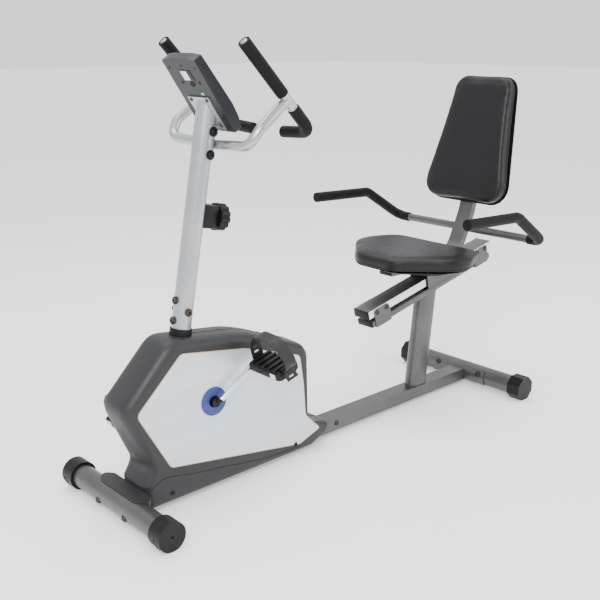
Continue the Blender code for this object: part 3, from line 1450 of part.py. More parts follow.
def rounded_rings(outline, near, far, rounding):
    """Rings that round both faces of a pad: outline gives (a, b) points for an inset from its edge."""
    steps = [(near, rounding), (near + 0.3 * rounding, 0.3 * rounding), (near + rounding, 0.0)]
    steps += [(far - rounding, 0.0), (far - 0.3 * rounding, 0.3 * rounding), (far, rounding)]
    return [[(along, *point) for point in outline(inset)] for along, inset in steps]


def back_cushion():
    """Built in the upright's frame: x away from the rider, z up the pad."""

    def outline(inset):
        low, high = BACK_TOP - BACK_HEIGHT + inset, BACK_TOP - inset
        wide, narrow = BACK_HALF_WIDTH_LOW - inset, BACK_HALF_WIDTH_HIGH - inset
        corners = [(-wide, low, 0.055), (wide, low, 0.055), (narrow, high, 0.048), (-narrow, high, 0.048)]
        return rounded_outline(corners, 5)

    rear = -SEAT_TUBE_THICKNESS / 2 - 2 * GAP
    rings = rounded_rings(outline, rear - BACK_THICKNESS, rear, BACK_ROUNDING)
    loft("back_cushion", rings, BLACK_VINYL, BACK)


# ---------------------------------------------------------------- handlebar beside the seat
def seat_bar_corners():
    """From the middle behind the upright to the left grip's front end."""
    lean = UPRIGHT_LEAN
    behind = SEAT_TUBE_THICKNESS / 2 + BAR_R + GAP
    x = KNEE_X - (UPRIGHT_KNEE_Z - SEAT_BAR_Z) * math.tan(lean) + behind / math.cos(lean)
    return [
        (x, 0.0, SEAT_BAR_Z, 0),
        (x, -0.285, SEAT_BAR_Z, 0.035),
        (REAR_X - 0.1795, -0.2955, 0.627, 0.045),
        (REAR_X - 0.4100, -0.2950, 0.636, 0),
    ]


def seat_handlebar():
    left = rounded_route(seat_bar_corners(), 6)
    whole = [Vector((p.x, -p.y, p.z)) for p in reversed(left)] + left[1:]
    made = tube("seat_handlebar", whole, BAR_R, GREY_PAINT)
    longer = trimmed([*reversed(trimmed(whole, -0.02))], -0.02)
    cut(made, tube("seat_handlebar_bore", longer, BAR_R - BAR_WALL))
    for side, sign in SIDES.items():
        route = [Vector((p.x, -sign * p.y, p.z)) for p in left]
        start = Vector((route[0].x, sign * SEAT_GRIP_START_Y, route[0].z))
        grip("handle_grip_" + side, [start, *route[1:]], SEAT_GRIP_R, BAR_R + GAP)


mast()
mast_collar()
tension_knob()
tension_cable()
crank_axle()
bearing("left", -0.0335, -0.0255)
bearing("right", 0.0140, 0.0220)
drive_pulley()
flywheel()
flywheel_axle()
drive_belt()
magnet_bracket()
for side, sign in SIDES.items():
    pedal(side, sign, crank(side, sign))
    crank_disc(side, sign)
    side_panel(side, sign)
    foot_cover(side, sign)
shroud()
console()
handlebar()
hand_grips()
seat_post()
rails()
rail_bracket("rail_bracket_front", -1)
rail_bracket("rail_bracket_rear", 1)
carriage()
seat_lock_knob()
seat_frame()
seat_cushion()
back_cushion()
seat_handlebar()
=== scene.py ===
# %% [markdown]
# # A recumbent exercise bike
# The bike arrives as a set of plain solids, each with its place and its joints already settled. This script
# gives
# them their finishes, puts the small fittings on them (bolts, plugs, reflectors, seams) and lights the
# result.
# All lengths are in metres, +X points to the rider's back, +Y to the rider's right and +Z up.

# %% Open the bike
import json
import math

import bmesh
import bpy
from mathutils import Matrix, Vector


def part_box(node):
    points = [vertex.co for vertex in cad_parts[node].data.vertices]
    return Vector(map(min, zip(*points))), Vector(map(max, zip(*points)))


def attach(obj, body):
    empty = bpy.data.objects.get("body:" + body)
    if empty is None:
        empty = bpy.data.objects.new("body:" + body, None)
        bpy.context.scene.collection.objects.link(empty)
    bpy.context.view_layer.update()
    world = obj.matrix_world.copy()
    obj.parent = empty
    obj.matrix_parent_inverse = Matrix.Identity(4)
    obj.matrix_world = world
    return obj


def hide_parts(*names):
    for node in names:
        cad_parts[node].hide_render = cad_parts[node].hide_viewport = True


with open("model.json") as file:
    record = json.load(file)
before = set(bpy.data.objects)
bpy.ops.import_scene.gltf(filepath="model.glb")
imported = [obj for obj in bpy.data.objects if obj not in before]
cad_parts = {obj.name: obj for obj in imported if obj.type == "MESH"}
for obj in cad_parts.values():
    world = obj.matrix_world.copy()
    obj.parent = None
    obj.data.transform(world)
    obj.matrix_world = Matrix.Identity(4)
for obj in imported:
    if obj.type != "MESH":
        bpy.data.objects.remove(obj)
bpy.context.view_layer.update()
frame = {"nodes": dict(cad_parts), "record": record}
nodes = frame["nodes"]
slot_of = {row["node"]: row["material_slot"] for row in frame["record"]["subparts"]}
body_of = {name: body for body, names in frame["record"]["behaviour"]["bodies"].items() for name in names}
scene = bpy.context.scene

# %% [markdown]
# ## Directions
# Four parts of the bike lean: the mast, the console, the rail and the two cushions. A fitting is easier to
# place
# with lengths measured along the part it sits on, so each leaning part gets its own matrix: an origin and a
# lean.

# %% Leaning frames
FRONT_X = -0.68898  # axis of the front floor tube
REAR_X = 0.65602  # axis of the rear floor tube


def leaning(x, z, degrees):
    """A frame at (x, 0, z) that leans back by this angle."""
    return Matrix.Translation((x, 0, z)) @ Matrix.Rotation(math.radians(degrees), 4, "Y")


MAST = leaning(-0.49148, 0.438, 10.5)
CONSOLE = leaning(-0.38948, 0.9475, -33.9)
RAIL = leaning(0.43352, 0.415, -12.4)
BACKREST = leaning(0.62752, 0.584, 15)
CRANK = (-0.44348, 0.249)
PEDALS = {"left": (-0.320603, 0.335036, -1), "right": (-0.566348, 0.162964, 1)}
print("leaning frames:", 4)

# %% [markdown]
# ## The camera
# The bike is seen from its front left, from a little above the handlebars, through a lens slightly longer
# than
# normal. The pitch and heading are written as a direction, which is easier to check than three angles.

# %% Camera
heading, pitch = math.radians(42.344), math.radians(16.458)
looking = Vector((math.sin(heading) * math.cos(pitch), math.cos(heading) * math.cos(pitch), -math.sin(pitch)))
lens = bpy.data.cameras.new("studio_camera")
lens.lens, lens.sensor_width = 53.478, 36
camera = bpy.data.objects.new("studio_camera", lens)
camera.location = (-1.6745, -1.7312, 1.1223)
camera.rotation_mode = "QUATERNION"
camera.rotation_quaternion = looking.to_track_quat("-Z", "Y")
scene.collection.objects.link(camera)
scene.camera = camera
print("camera at", [round(v, 3) for v in camera.location])

# %% [markdown]
# ## How a finish is made
# Each finish is a Principled surface whose colour, roughness and bump come from noise in the piece's own
# space, so
# the pattern has a real size in millimetres and stays with the piece when it moves. A noise of scale s
# repeats
# about every 1/s metres. Colours are written as sRGB hex values, and one function makes them linear.


# %% Colour and node helpers
def linear(colour):
    """An sRGB hex colour as linear red, green, blue and alpha."""
    shares = [int(colour[i : i + 2], 16) / 255 for i in (1, 3, 5)]
    return (*[s / 12.92 if s <= 0.04045 else ((s + 0.055) / 1.055) ** 2.4 for s in shares], 1)


def add(material, kind, inputs=None, stops=None, **settings):
    """Adds one node with its settings, and its inputs as numbers or as links."""
    made = material.node_tree.nodes.new(kind)
    for name, value in settings.items():
        setattr(made, name, value)
    for name, value in (inputs or {}).items():
        if isinstance(value, bpy.types.NodeSocket):
            material.node_tree.links.new(value, made.inputs[name])
        else:
            made.inputs[name].default_value = value
    for i, (place, colour) in enumerate(stops or []):
        stop = made.color_ramp.elements[i] if i < 2 else made.color_ramp.elements.new(place)
        stop.position, stop.color = place, linear(colour)
    return made


def finish(
    name, tones, tone_mm, roughness, rough_mm, grain_mm, grain_height, grain="noise", stretch=(1, 1, 1),
    turn=0.0, **constants
):
    """A finish from three patterns: slow tone, middling roughness and fine grain, each sized in millimetres."""
    made = bpy.data.materials.new(name)
    made.use_nodes = True
    surface = made.node_tree.nodes["Principled BSDF"]
    for key, value in constants.items():
        surface.inputs[key.replace("_", " ")].default_value = value
    place = add(made, "ShaderNodeTexCoord").outputs["Object"]
    if turn:
        place = add(made, "ShaderNodeMapping", {"Vector": place, "Rotation": (0, turn, 0)}).outputs["Vector"]
    if stretch != (1, 1, 1):
        place = add(made, "ShaderNodeMapping", {"Vector": place, "Scale": stretch}).outputs["Vector"]
    tone = add(made, "ShaderNodeTexNoise", {"Vector": place, "Scale": 1000 / tone_mm, "Detail": 4.0})
    fine = add(made, "ShaderNodeTexNoise", {"Vector": place, "Scale": 1000 / grain_mm, "Detail": 3.0})
    both = add(made, "ShaderNodeMath", {0: tone.outputs["Fac"], 1: fine.outputs["Fac"]}, operation="ADD")
    half = add(made, "ShaderNodeMath", {0: both.outputs[0], 1: 0.5}, operation="MULTIPLY")
    ramp = add(
        made, "ShaderNodeValToRGB", {"Fac": half.outputs[0]}, stops=[(0.38, tones[0]), (0.62, tones[1])]
    )
    made.node_tree.links.new(ramp.outputs["Color"], surface.inputs["Base Color"])
    worn = add(made, "ShaderNodeTexNoise", {"Vector": place, "Scale": 1000 / rough_mm, "Detail": 5.0})
    spread = add(
        made,
        "ShaderNodeMapRange",
        {
            "Value": worn.outputs["Fac"], "From Min": 0.3, "From Max": 0.7, "To Min": roughness[0],
            "To Max": roughness[1]
        },
    )
    made.node_tree.links.new(spread.outputs["Result"], surface.inputs["Roughness"])
    if grain == "cells":
        cells = add(
            made, "ShaderNodeTexVoronoi", {"Vector": place, "Scale": 1000 / grain_mm},
            feature="DISTANCE_TO_EDGE"
        )
        height = cells.outputs["Distance"]
    else:
        height = fine.outputs["Fac"]
    bump = add(made, "ShaderNodeBump", {"Height": height, "Strength": 1.0, "Distance": grain_height})
    made.node_tree.links.new(bump.outputs["Normal"], surface.inputs["Normal"])
    return made


print("white is", linear("#ffffff"))

# %% [markdown]
# ## Painted steel
# The mast and handlebar are sprayed with a satin silver lacquer: aluminium flakes under a thin clear coat,
# with a
# faint orange peel. The frame is powder coated in a warm gunmetal, which is rougher and shows a fine pebble.
# The flakes are drawn as 1.5 mm clumps, coarser than the real 0.05 mm, so that they show at this distance.

# %% Painted steel
silver_lacquer = finish(
    "silver_lacquer", (
        "#a3a5a8", "#b1b4b6"
    ), 90, (0.27, 0.34), 25, 1.5, 0.00001, Metallic=0.8, Coat_Weight=0.35, Coat_Roughness=0.18
)
gunmetal_powder_coat = finish(
    "gunmetal_powder_coat", (
        "#504e4d", "#5b5958"
    ), 70, (0.32, 0.40), 18, 1.6, 0.00002, Metallic=0.7, Coat_Weight=0.15, Coat_Roughness=0.25
)
print("paints:", silver_lacquer.name, gunmetal_powder_coat.name)

# %% [markdown]
# ## Moulded plastic
# The shroud is ABS from a spark-eroded mould, which leaves an even matt texture. Caps and knobs are a
# harder black
# polypropylene with a slight sheen, the console is smoother dark ABS, and the crank discs are dyed blue.

# %% Moulded plastic
charcoal_abs = finish(
    "charcoal_abs", ("#252526", "#2c2c2d"), 120, (0.40, 0.50), 30, 1.2, 0.00003, Specular_IOR_Level=0.3,
    IOR=1.5
)
black_polypropylene = finish(
    "black_polypropylene", ("#0b0b0c", "#111112"), 45, (0.38, 0.48), 12, 1.4, 0.00002, IOR=1.49,
    Specular_IOR_Level=0.22
)
console_abs = finish(
    "console_abs", ("#17171b", "#1d1d22"), 60, (0.34, 0.42), 15, 1.1, 0.00001, IOR=1.5, Specular_IOR_Level=0.3
)
blue_abs = finish("blue_abs", ("#1d2a68", "#233278"), 30, (0.32, 0.42), 9, 1.2, 0.00003, IOR=1.5)
satin_panel_film = finish(
    "satin_panel_film", (
        "#c3c6c9", "#d3d5d7"
    ), 160, (0.30, 0.38), 40, 2.0, 0.00001, stretch=(0.25, 1, 3), Metallic=0.35, Coat_Weight=0.2
)
panel_edge_line = finish("panel_edge_line", ("#8d6f4d", "#a3835d"), 20, (0.4, 0.5), 6, 1.0, 0.00001)
reflector_acrylic = finish(
    "reflector_acrylic", ("#d8d6d0", "#efeeea"), 8, (0.12, 0.2), 5, 2.4, 0.0002, grain="cells",
    Coat_Weight=1.0
)
print("plastics:", 8)

# %% [markdown]
# ## Soft and dark surfaces
# The grips are closed-cell foam, whose skin is broken by tiny cells. The cushions are vinyl embossed with a
# leather
# grain of about 2 mm, and straps, wheels and belt are matt rubber.

# %% Soft surfaces
cell_foam = finish(
    "cell_foam", ("#0a090a", "#100f10"), 40, (0.52, 0.62), 10, 1.6, 0.000012, Specular_IOR_Level=0.14
)
grained_vinyl = finish(
    "grained_vinyl", ("#0b0a0c", "#0f0e10"), 90, (0.38, 0.44), 22, 2.2, 0.000012, Specular_IOR_Level=0.28
)
strap_rubber = finish("strap_rubber", ("#0b0b0b", "#111111"), 30, (0.5, 0.66), 9, 1.2, 0.00005)
# Painted shade: this near-black stands for the dark inside bolt sockets, screw holes, keyholes and the jack,
# and for the seam joints. It is also the black of the shroud screws' heads.
dark_hollow = finish("dark_hollow", ("#080808", "#0e0e0e"), 20, (0.7, 0.8), 9, 1.2, 0.00002)
print("soft surfaces:", 4)

# %% [markdown]
# ## Bare metal
# The cranks are chrome plated, the rail is an aluminium extrusion with lines along its length (they run
# with the
# rail's slope, so the pattern is turned by it), axles are turned steel and the flywheel is cast iron.

# %% Bare metal
chrome_plate = finish(
    "chrome_plate", ("#d9dadc", "#eceded"), 40, (0.05, 0.12), 14, 3.0, 0.00001, Metallic=1.0
)
turned_steel = finish(
    "turned_steel", ("#9b9a98", "#b3b2b0"), 12, (0.24, 0.36), 5, 1.0, 0.00002, stretch=(1, 8, 1), Metallic=1.0
)
anodised_extrusion = finish(
    "anodised_extrusion",
    ("#dcdddd", "#eeeeee"),
    60,
    (0.26, 0.36),
    12,
    1.4,
    0.00002,
    stretch=(0.06, 1, 1),
    turn=math.radians(12.4),
    Metallic=0.7,
)
# A darker copy of the extrusion finish for the rail's top: painted shade and a painted reflection of the dark
# seat above it.
rail_top_painted_shade = finish(
    "rail_top_painted_shade",
    ("#696664", "#7f7c79"),
    40,
    (0.42, 0.54),
    12,
    1.6,
    0.00004,
    stretch=(0.05, 1, 1),
    turn=math.radians(12.4),
    Metallic=0.9,
)
cast_iron = finish("cast_iron", ("#39383a", "#4b4a4a"), 15, (0.5, 0.66), 8, 1.8, 0.0002, Metallic=0.8)
zinc_bolt = finish("zinc_bolt", ("#3d3831", "#5b544a"), 6, (0.24, 0.36), 4, 1.0, 0.00003, Metallic=1.0)
display_glass = finish(
    "display_glass", ("#3d4641", "#4c564f"), 30, (0.05, 0.1), 10, 3.0, 0.000005, Coat_Weight=1.0
)
# The board glows faintly from its emission. This is painted light, so that it reads bright through the window.
circuit_board = finish(
    "circuit_board", ("#c6ddd6", "#f4ece4"), 5, (0.3, 0.4), 4, 1.6, 0.0001, grain="cells",
    Emission_Strength=0.15
)
green_lamp = finish("green_lamp", ("#35b54a", "#6fe07f"), 5, (0.2, 0.3), 4, 1.4, 0.00002, Coat_Weight=1.0)
print("metals and fittings:", 9)

# %% [markdown]
# ## Finishing the solids
# The solids come as loose triangles, which would show every facet of a tube. Each one is copied, its points
# are
# merged, and its faces are shaded smooth except across edges sharper than 32 degrees. The copy stands for the
# solid and rides on the same body, so the bike still moves.

# %% Finish every hard solid
SLOT_FINISH = {
    "silver_paint": silver_lacquer,
    "grey_paint": gunmetal_powder_coat,
    "shroud_plastic": charcoal_abs,
    "panel_silver": satin_panel_film,
    "black_plastic": black_polypropylene,
    "console_plastic": console_abs,
    "blue_plastic": blue_abs,
    "black_foam": cell_foam,
    "black_vinyl": grained_vinyl,
    "rubber": strap_rubber,
    "chrome": chrome_plate,
    "steel": turned_steel,
    "aluminium": anodised_extrusion,
    "cast_iron": cast_iron,
    "lens": display_glass,
}
CUSHIONS = ("seat_cushion", "back_cushion")


def merged_copy(name):
    """A bmesh of one solid with its loose triangles joined up."""
    bm = bmesh.new()
    bm.from_mesh(nodes[name].data)
    bmesh.ops.remove_doubles(bm, verts=bm.verts, dist=0.000002)
    bmesh.ops.dissolve_degenerate(bm, edges=bm.edges, dist=0.000001)
    return bm


def crease(bm, degrees=32):
    """Smooth faces, with edges sharper than this kept crisp."""
    for face in bm.faces:
        face.smooth = True
    for edge in bm.edges:
        edge.smooth = len(edge.link_faces) == 2 and edge.calc_face_angle(0) < math.radians(degrees)


def show(bm, name, finishes, body, stands_for=()):
    """Puts a finished bmesh in the scene as one piece that rides on a body."""
    mesh = bpy.data.meshes.new(name)
    bm.to_mesh(mesh)
    bm.free()
    piece = bpy.data.objects.new(name, mesh)
    scene.collection.objects.link(piece)
    for made in finishes if isinstance(finishes, (list, tuple)) else [finishes]:
        mesh.materials.append(made)
    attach(piece, body)
    if stands_for:
        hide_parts(*stands_for)
    return piece


special = {
    "pedal_strap_left", "pedal_strap_right", "crank_left", "crank_right", "slide_rail", "side_panel_left",
    "side_panel_right", *CUSHIONS
}
for name in sorted(nodes):
    if name in special:
        continue
    solid = merged_copy(name)
    crease(solid, 40 if "grip" in name or name in ("handlebar", "seat_handlebar") else 32)
    show(solid, name + "_finished", SLOT_FINISH[slot_of[name]], body_of[name], [name])
for name in special - set(CUSHIONS):
    nodes[name].data.materials.clear()
    nodes[name].data.materials.append(SLOT_FINISH[slot_of[name]])
print("finished solids:", len(nodes) - len(special))

# %% [markdown]
# ## The rail
# The top of the extrusion is painted darker than its bright sides: painted shade and a painted
# reflection of the dark seat above it. Faces that look along the rail's own up direction get
# this second finish.

# %% Slide rail
rail = merged_copy("slide_rail")
crease(rail)
up = RAIL.to_3x3() @ Vector((0, 0, 1))
for face in rail.faces:
    face.normal_update()
    # Upward faces take the darker finish, which is painted shade and a painted reflection of the seat.
    face.material_index = 1 if face.normal.dot(up) > 0.7 else 0
show(rail, "slide_rail_finished", [anodised_extrusion, rail_top_painted_shade], "frame", ["slide_rail"])
print("rail finished")

# %% [markdown]
# ## The side panels
# Each panel is a silver film on a thin sheet, and its printed border is a thin tan line. Insetting the
# outer face
# by 1.8 mm gives the line its own ring of faces.

# %% Side panels
for side, sign in (("left", -1), ("right", 1)):
    panel = merged_copy("side_panel_" + side)
    bmesh.ops.dissolve_limit(panel, angle_limit=math.radians(2), verts=panel.verts, edges=panel.edges)
    outer = [f for f in panel.faces if f.normal.y * sign > 0.9]
    ring = bmesh.ops.inset_region(panel, faces=outer, thickness=0.0018, depth=0.0, use_even_offset=True)
    for face in ring["faces"]:
        face.material_index = 1
    crease(panel)
    show(
        panel, f"side_panel_{side}_finished", [satin_panel_film, panel_edge_line], "frame",
        ["side_panel_" + side]
    )
print("side panels finished")

# %% [markdown]
# ## Cushions
# A cushion is foam on a board under vinyl. The vinyl is pulled over the foam and stapled under the board,
# so the
# top is crowned, the sides bulge, and the board shows as a second, thinner edge below. The solid is cut
# above the
# board, remeshed evenly, and a short cloth simulation with pressure swells it. How far a point may move is
# capped.


# %% Cushion helpers
def cut_above(bm, point, direction):
    """Keeps what lies on the direction's side of a plane, and closes the cut."""
    cut = bmesh.ops.bisect_plane(
        bm, geom=[*bm.verts, *bm.edges, *bm.faces], plane_co=point, plane_no=direction, clear_inner=True
    )
    rim = [e for e in cut["geom_cut"] if isinstance(e, bmesh.types.BMEdge)]
    bmesh.ops.holes_fill(bm, edges=rim, sides=0)
    bmesh.ops.triangulate(bm, faces=[f for f in bm.faces if len(f.verts) > 4])


def swollen(name, bm, start_in, cap, down, voxel=0.005):
    """Remeshes a closed shape, swells it as cloth under pressure, and returns it as a mesh.
    down is the way to the board: what faces it stays flat."""
    bmesh.ops.recalc_face_normals(bm, faces=bm.faces)
    for vert in bm.verts:
        vert.co -= vert.normal * start_in
    mesh = bpy.data.meshes.new(name)
    bm.to_mesh(mesh)
    bm.free()
    piece = bpy.data.objects.new(name, mesh)
    scene.collection.objects.link(piece)
    even = piece.modifiers.new("even", "REMESH")
    even.mode, even.voxel_size = "VOXEL", voxel
    piece.data = bpy.data.meshes.new_from_object(piece.evaluated_get(bpy.context.evaluated_depsgraph_get()))
    piece.modifiers.clear()
    rest = [v.co.copy() for v in piece.data.vertices]
    cloth = piece.modifiers.new("cloth", "CLOTH")
    cloth.settings.quality = 4
    cloth.settings.use_pressure = True
    cloth.settings.uniform_pressure_force = 4
    cloth.settings.tension_stiffness = cloth.settings.compression_stiffness = 25
    cloth.settings.effector_weights.gravity = 0
    cloth.collision_settings.use_collision = False
    for number in range(1, 19):
        scene.frame_set(number)
    piece.data = bpy.data.meshes.new_from_object(
        piece.evaluated_get(bpy.context.evaluated_depsgraph_get())
    )
    piece.modifiers.clear()
    scene.frame_set(1)
    bulge = [vert.co - place for vert, place in zip(piece.data.vertices, rest)]
    bulge = [b * min(1, cap / max(b.length, 1e-9)) for b in bulge]
    neighbours = [[] for _ in rest]
    for edge in piece.data.edges:
        neighbours[edge.vertices[0]].append(edge.vertices[1])
        neighbours[edge.vertices[1]].append(edge.vertices[0])
    for _ in range(24):
        bulge = [
            (b + sum((bulge[n] for n in near), Vector())) / (1 + len(near))
            for b, near in zip(bulge, neighbours)
        ]
    floor = max(p.dot(down) for p in rest)
    for vert, place, moved in zip(piece.data.vertices, rest, bulge):
        over = (place + moved).dot(down) - floor
        vert.co = place + moved - down * max(over, 0)
    return piece


# %% [markdown]
# The swelling itself is averaged over its neighbours, so that the vinyl is tight and has no wrinkles. The
# pad is then
# relaxed a little, so that no voxel step shows, and a shallow groove is pressed in
# where the seam runs round the side.


# %% Upholster both cushions
def upholster(name, origin, up, board, seam, cap):
    """The padded piece and its board, for one cushion solid."""
    origin, up = Vector(origin), Vector(up).normalized()
    foam = merged_copy(name)
    cut_above(foam, origin + up * board, up)
    piece = swollen(name + "_padded", foam, 0.0012, cap, -up)
    bm = bmesh.new()
    bm.from_mesh(piece.data)
    for _ in range(2):
        bmesh.ops.smooth_vert(
            bm, verts=bm.verts, factor=0.5, use_axis_x=True, use_axis_y=True, use_axis_z=True
        )
    bm.normal_update()
    for vert in bm.verts:
        above = (vert.co - origin).dot(up) - seam
        side = 1 - abs(vert.normal.dot(up))
        vert.co -= vert.normal * 0.0016 * side * math.exp(-((above / 0.0022) ** 2))
    for face in bm.faces:
        face.smooth = True
    bm.to_mesh(piece.data)
    bm.free()
    piece.data.materials.clear()
    piece.data.materials.append(grained_vinyl)
    finer = piece.modifiers.new("finer", "SUBSURF")
    finer.levels = finer.render_levels = 1
    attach(piece, "seat")
    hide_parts(name)
    under = merged_copy(name)
    cut_above(under, origin + up * (board - 0.0008), -up)
    crease(under)
    show(under, name + "_board", black_polypropylene, "seat")
    return piece


back_up = -(BACKREST.to_3x3() @ Vector((1, 0, 0)))
seat = upholster("seat_cushion", (0, 0, 0.4595), (0, 0, 1), 0.009, 0.016, 0.008)
back = upholster("back_cushion", BACKREST @ Vector((-0.0106, 0, 0)), back_up, 0.009, 0.017, 0.008)
print("cushion triangles:", len(seat.data.polygons) * 8, len(back.data.polygons) * 8)

# %% [markdown]
# ## Bolts
# The frame is held by domed hexagon-socket bolts on plain washers. One bolt is a spun profile: washer, dome
# and
# socket. It is made at the origin, pointing up, and a matrix puts it on its part.


# %% Bolt maker
def spun(profile, sides=20):
    """A closed ring of (radius, height) points turned round the upright axis."""
    bm = bmesh.new()
    verts = [bm.verts.new((r, 0, z)) for r, z in profile]
    edges = [bm.edges.new(pair) for pair in zip(verts, verts[1:])]
    bmesh.ops.spin(
        bm, geom=verts + edges, cent=(
            0, 0, 0
        ), axis=(0, 0, 1), dvec=(0, 0, 0), angle=math.tau, steps=sides, use_merge=True, use_duplicate=False
    )
    bmesh.ops.remove_doubles(bm, verts=bm.verts, dist=0.00001)
    bmesh.ops.recalc_face_normals(bm, faces=bm.faces)
    return bm


def facing(place, direction):
    """A matrix that puts something made pointing up at a place, pointing in a direction."""
    return Matrix.Translation(place) @ Vector(direction).to_track_quat("Z", "Y").to_matrix().to_4x4()


def fitting(name, bm, where, finishes, body, degrees=32):
    bmesh.ops.transform(bm, matrix=where, verts=bm.verts)
    crease(bm, degrees)
    return show(bm, name, finishes, body)


def bolt(name, place, direction, radius=0.0075, body="frame", finishes=None):
    r, h = radius, radius * 0.55
    profile = [
        (0, -0.001), (1.35 * r, -0.001), (1.35 * r, 0.0012), (r, 0.0012), (0.98 * r, 0.5 * h),
        (0.75 * r, 0.85 * h + 0.001)
    ]
    profile += [(0.48 * r, h + 0.001), (0.42 * r, h + 0.0006), (0.40 * r, 0.35 * h), (0, 0.35 * h)]
    made = spun(profile)
    # The socket's faces take the second finish, which by default is painted shade.
    for face in made.faces:
        middle = face.calc_center_median()
        face.material_index = 1 if math.hypot(middle.x, middle.y) < 0.44 * r and middle.z > 0 else 0
    return fitting(name, made, facing(place, direction), finishes or [zinc_bolt, dark_hollow], body)


# %% Frame bolts
lean = Vector((-0.9066, 0, -0.4219))
for i, y in enumerate((-0.060, 0.060)):
    bolt(f"front_tube_bolt_{i}", Vector((FRONT_X, y, 0.037)) + lean * 0.030, lean)
lean = Vector((-0.931, 0, 0.364))
for i, y in enumerate((-0.083, 0.083)):
    bolt(f"rear_saddle_bolt_{i}", Vector((REAR_X, y, 0.037)) + lean * 0.0335, lean)
bolt("frame_side_bolt", (0.0245, -0.0268, 0.036), (0, -1, 0), 0.006)
for i, z in enumerate((0.069, 0.019)):
    bolt(f"mast_front_bolt_{i}", MAST @ Vector((-0.0282, 0, z)), MAST.to_3x3() @ Vector((-1, 0, 0)))
bolt("mast_side_bolt_left", MAST @ Vector((-0.003, -0.0282, 0.044)), (0, -1, 0))
bolt("mast_side_bolt_right", MAST @ Vector((-0.003, 0.0282, 0.044)), (0, 1, 0))
print("frame bolts:", 9)

# %% Bolts of the handlebar sleeve and of the rail brackets
black_bolt = [black_polypropylene, zinc_bolt]
for i, (x, z) in enumerate(((-0.3975, 0.908), (-0.4085, 0.855))):
    for side, sign in (("left", -1), ("right", 1)):
        bolt(f"sleeve_bolt_{side}_{i}", (x, sign * 0.0290, z), (0, sign, 0), 0.0088, finishes=black_bolt)
for i, s in enumerate((-0.262, -0.221, 0.221, 0.262)):
    for side, sign in (("left", -1), ("right", 1)):
        bolt(f"rail_bolt_{side}_{i}", RAIL @ Vector((s, sign * 0.0334, -0.0155)), (0, sign, 0), 0.0058)
for i, x in enumerate((FRONT_X + 0.1135, FRONT_X + 0.5215)):
    for side, sign in (("left", -1), ("right", 1)):
        bolt(
            f"shroud_screw_{side}_{i}", (x, sign * 0.0588, 0.0415), (0, sign, 0), 0.0050,
            finishes=[dark_hollow, zinc_bolt]
        )
print("sleeve, rail and shroud bolts:", 16)

# %% [markdown]
# ## Plugs
# Open tube ends are closed by pressed-in plastic plugs with rounded corners, which stand about 2 mm proud.


# %% Plug maker
def block(size, rounding=0.001, segments=2):
    """A box of this size round the origin, with its edges rounded."""
    bm = bmesh.new()
    bmesh.ops.create_cube(bm, size=1)
    bmesh.ops.scale(bm, vec=size, verts=bm.verts)
    bmesh.ops.bevel(
        bm, geom=bm.edges, offset=rounding, offset_type="OFFSET", segments=segments, profile=0.5,
        material=-1, affect="EDGES", clamp_overlap=True
    )
    return bm


# %% Plugs of the rails
for end, sign in (("front", -1), ("rear", 1)):
    where = RAIL @ Matrix.Translation((sign * 0.2950, 0, -0.0135))
    fitting(
        f"slide_rail_plug_{end}", block((0.0025, 0.0592, 0.0262), 0.0011), where, black_polypropylene,
        "frame"
    )
    where = RAIL @ Matrix.Translation((sign * 0.2850, 0, -0.0490))
    fitting(
        f"base_rail_plug_{end}", block((0.0025, 0.0592, 0.0182), 0.0011), where, black_polypropylene, "frame",
    )
seat_low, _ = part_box("seat_frame")
where = Matrix.Translation((seat_low.x + 0.0015, 0, seat_low.z + 0.010))
fitting(
    "seat_tube_plug", block((0.007, 0.0450, 0.0150), 0.002), where, black_polypropylene, "seat",
)
print("plugs:", 5)

# %% [markdown]
# ## Pedals
# Each pedal has a clear reflector near the outer end of its front and rear faces. Its rubber strap has two
# slots on
# the inner side, one in its tail, and a buckle block that grips it on the outer side. The pedals hang nose
# down by 16
# degrees, so everything is placed in a frame tilted by that angle.


# %% Strap slots
def slotted(bm, name, cutters):
    """Cuts these closed shapes out of a bmesh with an exact Boolean, and returns the result as a bmesh."""
    made = []
    for part, label in ((bm, name + "_whole"), *((c, f"{name}_cutter_{i}") for i, c in enumerate(cutters))):
        mesh = bpy.data.meshes.new(label)
        part.to_mesh(mesh)
        part.free()
        made.append(bpy.data.objects.new(label, mesh))
        scene.collection.objects.link(made[-1])
    for cutter in made[1:]:
        cut = made[0].modifiers.new("cut", "BOOLEAN")
        cut.operation, cut.solver, cut.object = "DIFFERENCE", "EXACT", cutter
    result = bmesh.new()
    result.from_mesh(
        bpy.data.meshes.new_from_object(made[0].evaluated_get(bpy.context.evaluated_depsgraph_get()))
    )
    for obj in made:
        bpy.data.objects.remove(obj)
    return result


# %% Pedal fittings
for side, (x, z, sign) in PEDALS.items():
    tilt = Matrix.Translation((x, 0, z)) @ Matrix.Rotation(math.radians(-16), 4, "Y")
    body = "pedal_" + side
    for end, way in (("front", -1), ("rear", 1)):
        where = tilt @ Matrix.Translation((way * 0.0352, sign * 0.184, 0.0015))
        fitting(
            f"pedal_reflector_{end}_{side}", block((0.0024, 0.018, 0.013), 0.0010), where, reflector_acrylic,
            body
        )
    slots = []
    for y, up_by in ((0.0935, 0.030), (0.0935, 0.044), (0.2120, -0.006)):
        hole = block((0.015, 0.012, 0.0065), 0.0015)
        bmesh.ops.transform(hole, matrix=tilt @ Matrix.Translation((0, sign * y, up_by)), verts=hole.verts)
        slots.append(hole)
    strap = slotted(merged_copy("pedal_strap_" + side), "strap_" + side, slots)
    crease(strap)
    show(strap, f"pedal_strap_{side}_finished", strap_rubber, body, ["pedal_strap_" + side])
    where = tilt @ Matrix.Translation((0, sign * 0.2085, 0.014))
    fitting(
        f"strap_buckle_{side}", block((0.042, 0.012, 0.016), 0.002), where, black_polypropylene, body,
    )
print("pedal fittings:", 8)

# %% [markdown]
# ## Cranks
# The arms are chrome plated rods, but their hubs are covered with a black cap where they meet the axle.

